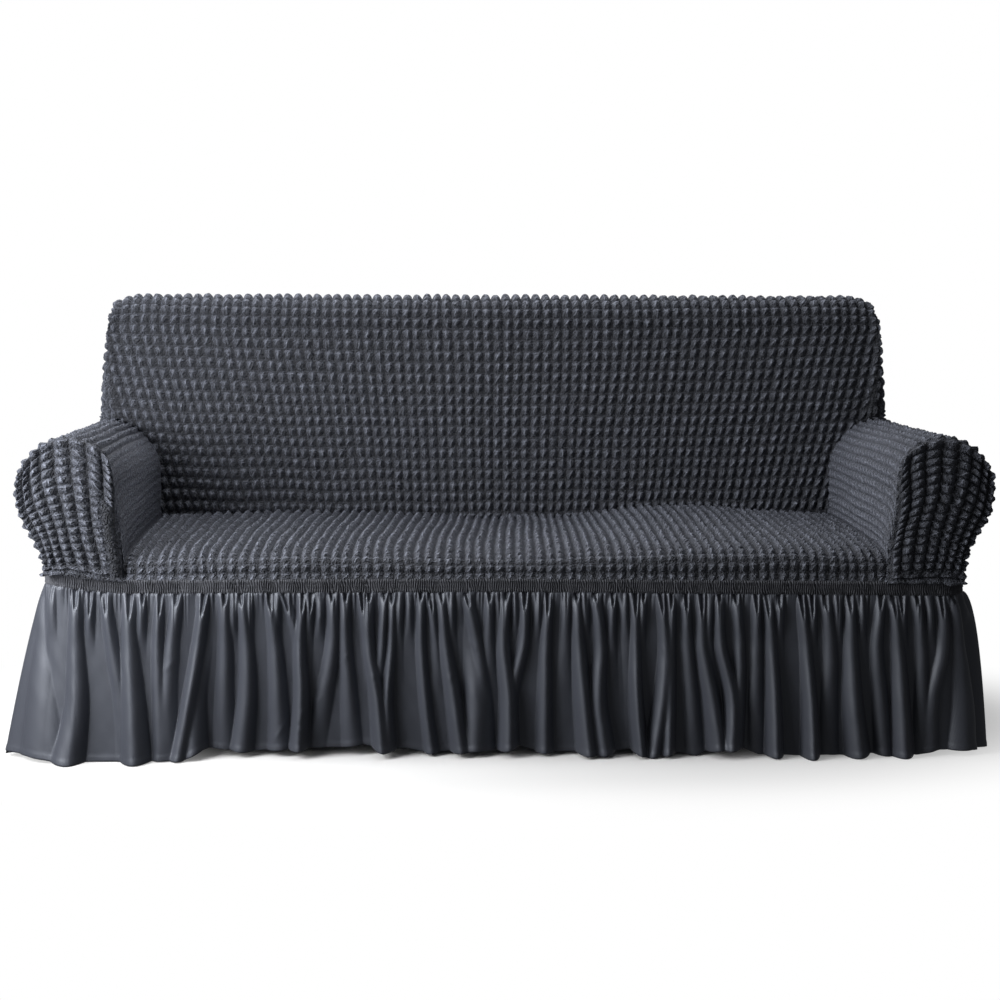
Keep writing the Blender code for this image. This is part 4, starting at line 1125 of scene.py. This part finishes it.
def build_seat(seat, material):
    panel = Panel(seat, (SEAT_COLUMNS, SEAT_ROW_COUNT), (6, 6), (1, 0), (1, 1), (seat.shape[1] // 2, 5), 10,
                  (0, 0, 1), SEAT_SQUEEZE, SEAT_LEAN)
    on_front = fading(panel.b, *SEAT_FRONT_ROWS)
    swell = looked_up(SEAT_SWELLS, panel.points()[..., 0]) * ease(panel.b / SEAT_ROW_COUNT)
    x = np.linspace(-1, 1, 200) * (BAND_HALF_WIDTH - BAND_CORNER)
    seam_line = np.stack([x, np.full_like(x, BAND_FRONT_Y + BAND_SEAM_DEPTH), band_top(x)], axis=1)
    piece, _ = panel.build("seat_panel", material, mixed_shape("seat", "seat_front", on_front),
                           RELIEF - SEAT_FRONT_FLATTER * on_front, lift=swell,
                           sewn_to=[(0, False, [seam_line])])


def build_outside_back(coarse, back, material):
    panel = Panel(coarse, (REAR_COLUMNS, REAR_BUBBLE_ROWS), (5, 5), (0, 0), (0, 0), (coarse.shape[1] // 2, 6),
                  60, (0, 1, 0))
    seams = [(np.maximum(*turned_edge(panel.a, 0, REAR_COLUMNS)), back_seam_direction(panel.points()))]
    piece, made = panel.build("outside_back", material, BUBBLE_SHAPES["outside_back"], seams=seams, mirror=-1,
                              sewn_to=[(0, True, [back[-1]])])
    return made


def build_back_end(side, label, coarse, lines, material):
    panel = Panel(coarse, (END_COLUMNS, END_ROWS), (7, 6), (0, 0), (0, 0), (4, 6), 70 if side < 0 else 80,
                  (side, 0, 0))
    at_front, at_rear = turned_edge(panel.a, 0, END_COLUMNS)
    points = panel.points()
    at_front = at_front * ease((points[..., 2] - ARM_CREST_Z) / CREST_RUN)
    at_seam = np.maximum(np.maximum(at_front, at_rear), turned_edge(panel.b, 0, END_ROWS)[1])
    piece, _ = panel.build("back_end_" + label, material, BUBBLE_SHAPES["back_end"],
                           seams=[(at_seam, back_seam_direction(points))],
                           sewn_to=[(1, False, lines), (1, True, lines), (0, True, lines)])


def build_bubble_cloth(material):
    seat = seat_points()
    sleeves = {side: sleeve_points(side, seat) for side in (-1, 1)}
    coarse_back = inside_back_points(seat, sleeves)
    coarse_rear = outside_back_points(coarse_back)
    back = build_inside_back(material)
    build_seat(seat, material)
    rear = build_outside_back(coarse_rear, back, material)
    for side, label in ((-1, "left"), (1, "right")):
        sleeve = build_sleeve(side, label, sleeves[side], material)
        build_facing(side, label, sleeves[side], sleeve[0], material)
        end = back_end_points(side, sleeves[side], coarse_back, coarse_rear)
        column = 0 if side < 0 else -1
        build_back_end(side, label, end, [sleeve[-1], back[:, column], rear[:, column]], material)


# ---------------------------------------------------------------- band

def band_outline(distance):
    """Point and outward direction at a distance round the band's outline, from the middle of the front."""
    straight = BAND_HALF_WIDTH - BAND_CORNER
    quarter = BAND_CORNER * math.pi / 2
    depth = BAND_REAR_Y - BAND_FRONT_Y - 2 * BAND_CORNER
    centre = (BAND_REAR_Y + BAND_FRONT_Y) / 2
    half = 2 * straight + 2 * quarter + depth
    distance = (distance + half) % (2 * half) - half
    side = np.where(distance < 0, -1.0, 1.0)
    d = np.abs(distance)
    stops = np.cumsum([0, straight, quarter, depth, quarter, straight])
    turn = (np.clip((d - stops[1]) / quarter, 0, 1) + np.clip((d - stops[3]) / quarter, 0, 1)) * math.pi / 2
    x = np.minimum(d, straight) - np.maximum(d - stops[4], 0)
    y = np.clip(d - stops[2], 0, depth) - depth / 2 + centre
    out = np.stack([side * np.sin(turn), -np.cos(turn), 0 * d], axis=-1)
    point = np.stack([side * x, y, 0 * d], axis=-1) + out * BAND_CORNER
    return point, out, 2 * half


def build_band(material):
    length = band_outline(np.zeros(1))[2]
    pleats = round(length / PLEAT_PITCH)
    columns = pleats * PLEAT_SAMPLES
    distance = np.arange(columns) * length / columns
    v, d = np.meshgrid(np.linspace(0, 1, BAND_ROWS), distance, indexing="ij")
    point, out, _ = band_outline(d)
    random = np.random.default_rng(90)
    drift = np.interp(d, np.linspace(0, length, 400), np.append(random.uniform(-0.35, 0.35, 399), 0))
    strength = np.interp(d, np.linspace(0, length, 700), random.uniform(0.55, 1.25, 700))
    slant = PLEAT_SLANT * v + 0.25 * np.sin(2 * math.pi * v + drift * 9)
    wave = np.cos(2 * math.pi * (d / length * pleats + drift + slant))
    puff = np.abs(np.sin(math.pi * STITCH_LINES * v)) ** 0.6
    reach = BAND_PUFF * puff + BAND_PLEAT * strength * wave * (0.5 + 0.5 * puff) - BAND_SINK
    grid = point + out * reach[..., None]
    low = band_bottom(grid[..., 0]) - BAND_TUCK
    high = band_top(grid[..., 0]) + BAND_LAP
    grid[..., 2] = low + (high - low) * v
    maps = {"OFBake": unit_map(BAND_ROWS, columns), "lattice": (d / PLEAT_PITCH, v)}
    piece = cloth_piece("gather_band_cloth", grid, (0, 0, 0), maps, None, material,
                        closed=True)
    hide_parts("gather_band")


# ---------------------------------------------------------------- skirt

def skirt_downs(rows):
    """Shares of the way down at which the skirt has mesh rows: closer at the band and the hem."""
    gathers = rows // 4
    return np.concatenate([
        np.linspace(0, 0.12, gathers, endpoint=False), np.linspace(0.12, 0.945, rows - gathers),
        (0.960, 0.968, 0.976, 0.990, 1.0)])


def ridge_reach(table, places, downs):
    """Reach of the ridges over the valleys, merged smoothly where they run together."""
    table = np.asarray(table, float)
    centres = smooth_through((0, 1 / 3, 2 / 3, 1), table[:, :4].T, downs)
    start = np.full(len(table), GATHER_START)
    heights = np.column_stack([start, GATHER_FULLNESS * table[:, 4], table[:, 5:8]]).T / 1000
    heights = np.maximum(smooth_through((0, GATHER_END, 1 / 3, 2 / 3, 1), heights, downs), 0)
    widths = (table[:, 8] + (table[:, 9] - table[:, 8]) * downs[:, None]) / 1000
    total = np.zeros((len(downs), len(places)))
    for k in range(len(table)):
        u = (places[None] - centres[:, k, None]) / (widths[:, k, None] * RIDGE_SPREAD)
        total += (heights[:, k, None] * np.clip(1 - u * u, 0, 1)) ** RIDGE_UNION
    return total ** (1 / RIDGE_UNION)


def forks(table, places, downs, seed):
    """Hollows, open at the band and closed below, in which the larger folds fork into two strands."""
    random = np.random.default_rng(seed)
    total = np.zeros((len(downs), len(places)))
    for row in np.asarray(table, float):
        run = random.uniform(*FORK_RUN)
        slide = random.uniform(-0.15, 0.15)
        if row[4] < FORK_FOLD:
            continue
        centre = row[0] + (row[1] - row[0]) * 3 * downs + slide * row[8] / 1000
        half = FORK_WIDTH * row[8] / 1000 * np.sqrt(np.clip(1 - downs / run, 0, 1)) + 1e-5
        u = (places[None] - centre[:, None]) / half[:, None]
        total -= FORK_DEPTH * (np.clip(1 - u * u, 0, 1) * ease((1 - downs / run) / 0.35)[:, None])
    return total


def fine_gathers(places, downs, seed):
    """The small pleats that leave the band and soon die out."""
    random = np.random.default_rng(seed)
    span = places[-1] - places[0]
    count = max(4, round(span / GATHER_PATCH))
    nodes = np.linspace(places[0], places[-1], count)
    strength = np.interp(places, nodes, random.uniform(*GATHER_STRENGTH, count))
    drift = np.interp(places, nodes, random.uniform(-GATHER_DRIFT, GATHER_DRIFT, count))
    fine = np.cos(2 * math.pi * (places / PLEAT_PITCH + drift)) * strength
    wide = 2 * np.abs(np.sin(math.pi * (places / WIDE_PLEAT + 3 * drift))) ** 0.8 - 1
    run = np.interp(places, nodes, random.uniform(*GATHER_RUNS, count))
    fade = np.exp(-(downs[:, None] / (FINE_RUN * run)) ** 1.3)
    slow = np.exp(-(downs[:, None] / (WIDE_RUN * run)) ** 2) * ease(downs / 0.02)[:, None]
    wide = wide * (0.4 + 0.6 * strength[::-1])
    return FINE_GATHER * fine[None] * fade + WIDE_GATHER * wide[None] * slow


def drag_creases(places, downs, drop):
    """Short sharp creases where the hanging cloth pulls askew."""
    total = np.zeros((len(downs), len(places)))
    for place, down, end_place, end_down, height in DRAG_CREASES:
        run = np.array([end_place - place, (end_down - down) * drop])
        length = np.linalg.norm(run)
        along_x, along_y = run / length
        x = places[None] - place
        y = (downs[:, None] - down) * drop
        along = (x * along_x + y * along_y) / length
        off = -x * along_y + y * along_x
        taper = ease(along / 0.3) * ease((1 - along) / 0.3)
        total += height / 1000 * taper * np.exp(-(off / CREASE_HALF_WIDTH) ** 2)
    return total


def soft_ripples(places, downs, seed):
    """Slow unevenness of hanging cloth."""
    random = np.random.default_rng(seed)
    total = np.zeros((len(downs), len(places)))
    for _ in range(RIPPLES):
        pitch = random.uniform(*RIPPLE_PITCHES)
        lean = random.uniform(-RIPPLE_LEAN, RIPPLE_LEAN)
        phase = random.uniform(0, 2 * math.pi)
        total += np.sin(2 * math.pi * (places[None] + 0.35 * lean * downs[:, None]) / pitch + phase)
    return RIPPLE_SIZE * total / 4 * ease(downs / 0.3)[:, None]


def joined(reach, places, downs, joints):
    """Blends both ends of a strip into the reach that it shares with the next strip."""
    for place, (hem_reach, power) in zip((places[0], places[-1]), joints):
        near = fading(np.abs(places - place), 0, JOINT_RUN)
        shared = hem_reach * downs ** power
        reach = reach + (shared[:, None] - reach) * near[None]
    return reach


def build_strip(node, reach, places, downs, locate, lifts, faces, material):
    point, out = locate(places)
    hem_ridge = HEM_RIDGE * ease((downs - HEM_START) / 0.01)
    points = point[None] + out[None] * (reach + hem_ridge[:, None])[..., None]
    hem = looked_up(lifts, places)[None]
    top = band_bottom(points[..., 0]) + STRIP_TUCK
    points[..., 2] = top + (hem - top) * downs[:, None]
    points = np.concatenate([points, points[[-1, -4]] - out * HEM_TURN])
    rows, columns = points.shape[:2]
    length = np.concatenate([downs, [1.004, 1.03]])[:, None] + 0 * places[None]
    across = places[None] * CLOTH_FULLNESS + 0 * length
    maps = {"OFBake": unit_map(rows, columns), "cloth": (across, length * CLOTH_DROP)}
    piece = cloth_piece(node + "_cloth", points, faces, maps, None, material)
    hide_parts(node)


def hidden_ridges(count, start, end, seed):
    """Ridges of a strip that is out of view, as uneven as those in front."""
    random = np.random.default_rng(seed)
    pitch = (end - start) / count
    rows = []
    for index in range(count):
        place = start + pitch * (index + 0.5 + random.uniform(-PLACE_RANGE, PLACE_RANGE))
        lean = pitch * random.uniform(-LEAN_RANGE, LEAN_RANGE)
        depth = HIDDEN_FOLD_DEPTH * 1000 * random.uniform(*DEPTH_RANGE)
        rows.append((place, place + lean * 0.4, place + lean * 0.8, place + lean,
                     8, 0.50 * depth, 0.78 * depth, depth, 16, 34))
        small = place + pitch * random.uniform(0.35, 0.60)
        rows.append((small, small, small, small, 6, 6 * random.uniform(0, 1.5), 0, 0, 10, 16))
    return rows


def strip_reach(ridges, valleys, places, downs, joints, seed):
    reach = (looked_up(valleys, places)[None] * downs[:, None]
             + ridge_reach(ridges, places, downs) + forks(ridges, places, downs, seed + 2)
             + fine_gathers(places, downs, seed) + soft_ripples(places, downs, seed + 1))
    return joined(reach, places, downs, joints)


def joints_of(first, second):
    return JOINT_REACH[first], JOINT_REACH[second]


def flat_level(start, end, reach, first_lift, last_lift):
    """Reach of a hidden strip's valleys and the height of its hem, at its two ends."""
    return np.array([(start, reach, first_lift), (end, reach, last_lift)])


def build_skirt(material):
    end = BAND_HALF_WIDTH - BAND_CORNER + BAND_CORNER * math.pi / 2
    places = np.linspace(-end, end, round(2 * end / SKIRT_COLUMN))
    downs = skirt_downs(62)
    joints = joints_of("front_left", "front_right")
    reach = strip_reach(FRONT_RIDGES, FRONT_VALLEYS, places, downs, joints, 91)
    reach = reach + drag_creases(places, downs, SKIRT_DROP)
    build_strip("skirt_front", reach, places, downs, lambda d: band_outline(d)[:2], HEM_LIFTS,
                (0, -1, 0), material)

    places = np.linspace(-end, end, round(2 * end / HIDDEN_COLUMN))
    downs = skirt_downs(26)
    level = flat_level(-end, end, HIDDEN_REACH["back"] - HIDDEN_FOLD_DEPTH, HIDDEN_LIFT, HIDDEN_LIFT)
    reach = strip_reach(hidden_ridges(BACK_FOLDS, -end, end, 7), level, places, downs,
                        joints_of("back_left", "back_right"), 93)

    def rear_point(d):
        point, out, _ = band_outline(d)
        flip = np.array([1.0, -1.0, 1.0])
        return point * flip, out * flip

    build_strip("skirt_back", reach, places, downs, rear_point, level[:, (0, 2)],
                (0, 1, 0), material)

    y_front = BAND_FRONT_Y + BAND_CORNER
    y_back = BAND_REAR_Y - BAND_CORNER
    for side, label, seed in ((-1, "left", 11), (1, "right", 13)):
        places = np.linspace(y_front, y_back, round((y_back - y_front) / HIDDEN_COLUMN))
        front_lift = HEM_LIFTS[0 if side < 0 else -1][1]
        level = flat_level(y_front, y_back, HIDDEN_REACH[label] - HIDDEN_FOLD_DEPTH, front_lift, HIDDEN_LIFT)
        reach = strip_reach(hidden_ridges(SIDE_FOLDS, y_front, y_back, seed), level, places, downs,
                            joints_of("front_" + label, "back_" + label), 94 + seed)

        def side_point(d):
            out = np.zeros((len(d), 3)) + np.array([float(side), 0, 0])
            return np.stack([side * BAND_HALF_WIDTH + 0 * d, d, 0 * d], axis=-1), out

        build_strip("skirt_" + label, reach, places, downs, side_point, level[:, (0, 2)],
                    (side, 0, 0), material)


# ---------------------------------------------------------------- materials

def fill(tree, node, inputs):
    """Sets a node's inputs to values, or joins them to other nodes' outputs."""
    for name, value in inputs.items():
        if isinstance(value, bpy.types.NodeSocket):
            tree.links.new(value, node.inputs[name])
        else:
            node.inputs[name].default_value = value


def add(tree, kind, inputs, **settings):
    made = tree.nodes.new(kind)
    for key, value in settings.items():
        setattr(made, key, value)
    fill(tree, made, inputs)
    return made


def node_material(name, colour, roughness):
    made = bpy.data.materials.new(name)
    made.use_nodes = True
    shader = made.node_tree.nodes["Principled BSDF"]
    fill(made.node_tree, shader, {"Base Color": colour, "Roughness": roughness})
    return made, made.node_tree, shader


def math_node(tree, operation, *values, clamp=False):
    made = add(tree, "ShaderNodeMath", dict(enumerate(values)), operation=operation, use_clamp=clamp)
    return made.outputs[0]


def noise(tree, place, scale, detail=2.0, roughness=0.5, output="Fac"):
    inputs = {"Scale": scale, "Detail": detail, "Roughness": roughness, "Vector": place}
    return add(tree, "ShaderNodeTexNoise", inputs).outputs[output]


def mix_colours(tree, factor, first, second):
    inputs = {"Factor": factor, 6: first, 7: second}
    return add(tree, "ShaderNodeMix", inputs, data_type="RGBA").outputs[2]


def shaded(colour, factor):
    return tuple(channel * factor for channel in colour[:3]) + (1.0,)


def bump(tree, height, distance, strength, before=None):
    inputs = {"Distance": distance, "Strength": strength, "Height": height}
    if before is not None:
        inputs["Normal"] = before
    return add(tree, "ShaderNodeBump", inputs).outputs["Normal"]


def highlight_creases(tree, lattice, place):
    """Each bubble's creases, painted as highlights where they would catch the light: a slanting one and one
    along its upper edge, askew at random.
    """
    calc = partial(math_node, tree)
    drift = noise(tree, place, 140.0, 1.0, output="Color")
    jitter = add(tree, "ShaderNodeVectorMath", {0: drift, 1: (CREASE_HIGHLIGHT_WOBBLE, CREASE_HIGHLIGHT_WOBBLE, 0.0), 2: lattice},
                 operation="MULTIPLY_ADD").outputs[0]
    cell = add(tree, "ShaderNodeVectorMath", {0: lattice}, operation="FLOOR").outputs[0]
    chance = add(tree, "ShaderNodeTexWhiteNoise", {"Vector": cell}, noise_dimensions="2D").outputs["Color"]
    first, second, third = add(tree, "ShaderNodeSeparateXYZ", {0: chance}).outputs
    inner = add(tree, "ShaderNodeVectorMath", {0: jitter, 1: cell}, operation="SUBTRACT").outputs[0]
    across, up, _ = add(tree, "ShaderNodeSeparateXYZ", {0: inner}).outputs
    s = calc("SUBTRACT", across, 0.5 + CREASE_HIGHLIGHT_WOBBLE / 2)
    t = calc("SUBTRACT", up, 0.5 + CREASE_HIGHLIGHT_WOBBLE / 2)
    slope = calc("ADD", calc("MULTIPLY", first, CREASE_HIGHLIGHT_SLOPES[0]), CREASE_HIGHLIGHT_SLOPES[1])
    shift = calc("MULTIPLY", calc("SUBTRACT", second, 0.5), CREASE_HIGHLIGHT_SHIFT)
    slant = calc("ABSOLUTE", calc("ADD", calc("SUBTRACT", s, calc("MULTIPLY", slope, t)), shift))
    line = calc("SUBTRACT", 1.0, calc("MULTIPLY", slant, 1 / CREASE_HIGHLIGHT_WIDTH), clamp=True)
    level = calc("ADD", calc("MULTIPLY", third, CREASE_HIGHLIGHT_LEVELS[0]), CREASE_HIGHLIGHT_LEVELS[1])
    bar = calc("ABSOLUTE", calc("SUBTRACT", t, level))
    bar = calc("SUBTRACT", 1.0, calc("MULTIPLY", bar, 1 / CREASE_HIGHLIGHT_WIDTH), clamp=True)
    return calc("MAXIMUM", line, calc("MULTIPLY", bar, second))


def bubble_material():
    made, tree, shader = node_material("bubble_cloth_look", CHARCOAL, 0.80)
    calc = partial(math_node, tree)
    place = add(tree, "ShaderNodeTexCoord", {}).outputs["Object"]
    puff = add(tree, "ShaderNodeAttribute", {}, attribute_name="puff").outputs["Fac"]
    lattice = add(tree, "ShaderNodeUVMap", {}, uv_map="lattice").outputs["UV"]
    row = calc("PINGPONG", add(tree, "ShaderNodeSeparateXYZ", {0: lattice}).outputs[1], 0.5)
    thread = calc("SUBTRACT", 1.0, calc("MULTIPLY", row, 16.0), clamp=True)
    # Thin wandering crumple lines: a bump, and painted highlights where they cross the crests
    fold = calc("ABSOLUTE", calc("SUBTRACT", noise(tree, place, 120.0, 1.0), 0.5))
    fold = calc("SUBTRACT", 1.0, calc("MULTIPLY", fold, 6.5), clamp=True)
    grain = calc("MULTIPLY", noise(tree, place, 330.0, 2.0, 0.6), 0.45)
    crinkle = calc("ADD", calc("MULTIPLY", fold, 0.7), grain)
    broad = noise(tree, place, 3.0, 2.0)
    # depth: the bubbles' height, by which shade is painted into the valleys and light onto the crests
    depth = calc("POWER", puff, 1.15, clamp=True)
    crease_lines = highlight_creases(tree, lattice, place)
    # Painted highlight: the creases as the light catches them, brightest on the crests; also used as a bump
    crease_highlight = calc("MULTIPLY", calc("MULTIPLY", crease_lines, depth), 1.5, clamp=True)
    # Painted shade and light: the colour is dark in the valleys between bubbles and light on their crests
    tone = mix_colours(tree, depth, shaded(CHARCOAL, 0.26), shaded(CHARCOAL, 1.30))
    # Random broad tone, painted highlights along the crumple lines and along the creases on the crests, and
    # lighter thread lines between the rows
    for share, brightness in (
            (calc("MULTIPLY", broad, 0.35), 0.85),
            (calc("MULTIPLY", calc("MULTIPLY", fold, depth), 0.40), 2.6),
            (calc("MULTIPLY", crease_highlight, 0.85), 4.2),
            (calc("MULTIPLY", thread, 0.5), 1.7)):
        tone = mix_colours(tree, share, tone, shaded(CHARCOAL, brightness))
    normal = bump(tree, crease_highlight, 0.003, 0.8, bump(tree, crinkle, 0.005, 1.0))
    fill(tree, shader, {"Base Color": tone, "Normal": normal, "Sheen Weight": 0.18, "Sheen Roughness": 0.45,
                        "Sheen Tint": COOL_SHEEN, "Specular IOR Level": 0.35})
    return made


def band_material():
    made, tree, shader = node_material("shirred_band_look", BAND_CHARCOAL, 0.75)
    place = add(tree, "ShaderNodeTexCoord", {}).outputs["Object"]
    broad = noise(tree, place, 40.0, 3.0)
    tone = mix_colours(tree, broad, shaded(BAND_CHARCOAL, 0.75), shaded(BAND_CHARCOAL, 1.25))
    normal = bump(tree, noise(tree, place, 900.0, 1.0), 0.0006, 0.5)
    fill(tree, shader, {"Base Color": tone, "Normal": normal, "Sheen Weight": 0.15})
    return made


def satin_material():
    made, tree, shader = node_material("skirt_satin_look", SATIN_CHARCOAL, 0.48)
    place = add(tree, "ShaderNodeTexCoord", {}).outputs["Object"]
    cloth = add(tree, "ShaderNodeUVMap", {}, uv_map="cloth").outputs["UV"]
    rib = add(tree, "ShaderNodeTexWave", {"Scale": 130.0, "Distortion": 1.2, "Detail": 1.0, "Vector": cloth},
              wave_type="BANDS", bands_direction="X", wave_profile="SIN").outputs["Fac"]
    broad = noise(tree, place, 6.0, 3.0)
    tone = mix_colours(tree, broad, shaded(SATIN_CHARCOAL, 0.86), shaded(SATIN_CHARCOAL, 1.12))
    tone = mix_colours(tree, math_node(tree, "MULTIPLY", rib, 0.10), tone, shaded(SATIN_CHARCOAL, 1.8))
    normal = bump(tree, noise(tree, place, 60.0, 2.0), 0.002, 0.10, bump(tree, rib, 0.0004, 0.25))
    fill(tree, shader, {"Base Color": tone, "Normal": normal, "Sheen Weight": 0.05, "Sheen Roughness": 0.4,
                        "Sheen Tint": SATIN_SHEEN, "Specular IOR Level": 0.75,
                        "Specular Tint": (0.86, 0.91, 1.0, 1.0)})
    return made


# ---------------------------------------------------------------- stage, light and camera

def build_stage():
    """A pale floor that fades into the white of the background."""
    mesh = bpy.data.meshes.new("floor")
    corners = [(x * FLOOR_HALF, y * FLOOR_HALF, 0) for x, y in ((-1, -1), (1, -1), (1, 1), (-1, 1))]
    mesh.from_pydata(corners, [], [(0, 1, 2, 3)])
    made, tree, shader = node_material("floor_look", (0.90, 0.90, 0.90, 1.0), 0.9)
    place = add(tree, "ShaderNodeTexCoord", {}).outputs["Object"]
    stretch = add(tree, "ShaderNodeMapping", {"Scale": FLOOR_STRETCH, "Vector": place}).outputs["Vector"]
    distance = add(tree, "ShaderNodeVectorMath", {0: stretch}, operation="LENGTH").outputs["Value"]
    far = add(tree, "ShaderNodeMapRange",
              {"From Min": FLOOR_FADE[0], "From Max": FLOOR_FADE[1], "Value": distance},
              interpolation_type="SMOOTHSTEP").outputs["Result"]
    white = add(tree, "ShaderNodeEmission", {}).outputs["Emission"]
    mix = add(tree, "ShaderNodeMixShader", {0: far, 1: shader.outputs["BSDF"], 2: white}).outputs[0]
    fill(tree, tree.nodes["Material Output"], {"Surface": mix})
    mesh.materials.append(made)
    floor = bpy.data.objects.new("floor", mesh)
    floor.location.z = -FLOOR_DROP
    floor.visible_diffuse = False
    floor.visible_glossy = False
    bpy.context.scene.collection.objects.link(floor)


def area_light(name, place, target, size, power):
    data = bpy.data.lights.new(name, "AREA")
    data.shape = "RECTANGLE"
    data.size, data.size_y = size
    data.energy = power
    light = bpy.data.objects.new(name, data)
    light.location = place
    away = mathutils.Vector(place) - mathutils.Vector(target)
    light.rotation_euler = away.to_track_quat("Z", "Y").to_euler()
    bpy.context.scene.collection.objects.link(light)


def build_light():
    """Lights all round, the strongest from the left and above, in a dim room that is seen as white."""
    world = bpy.data.worlds.new("studio")
    bpy.context.scene.world = world
    world.use_nodes = True
    tree = world.node_tree
    ground = tree.nodes["Background"]
    fill(tree, ground, {"Color": WHITE, "Strength": WORLD_STRENGTH})
    seen = add(tree, "ShaderNodeBackground", {"Color": WHITE, "Strength": 1.0})
    ray = add(tree, "ShaderNodeLightPath", {}).outputs["Is Camera Ray"]
    mix = add(tree, "ShaderNodeMixShader", {0: ray, 1: ground.outputs[0], 2: seen.outputs[0]})
    fill(tree, tree.nodes["World Output"], {"Surface": mix.outputs[0]})
    for light in LIGHTS:
        area_light(*light)


def build_camera():
    data = bpy.data.cameras.new("camera")
    data.sensor_fit = "HORIZONTAL"
    data.sensor_width = 36.0
    data.lens = CAMERA_LENS
    camera = bpy.data.objects.new("camera", data)
    yaw, pitch, roll = (math.radians(angle) for angle in CAMERA_TURNS)
    forward = np.array([math.sin(yaw) * math.cos(pitch), math.cos(yaw) * math.cos(pitch), -math.sin(pitch)])
    right = np.array([math.cos(yaw), -math.sin(yaw), 0.0])
    up = np.cross(right, forward)
    tilted_right = right * math.cos(roll) + up * math.sin(roll)
    tilted_up = up * math.cos(roll) - right * math.sin(roll)
    turn = mathutils.Matrix(np.column_stack([tilted_right, tilted_up, -forward]).tolist())
    camera.matrix_world = mathutils.Matrix.LocRotScale(CAMERA_PLACE, turn.to_quaternion(), None)
    bpy.context.scene.collection.objects.link(camera)
    bpy.context.scene.camera = camera


def main():
    build_bubble_cloth(bubble_material())
    build_band(band_material())
    build_skirt(satin_material())
    build_stage()
    build_light()
    build_camera()
    bpy.context.scene.view_settings.view_transform = "Standard"


main()
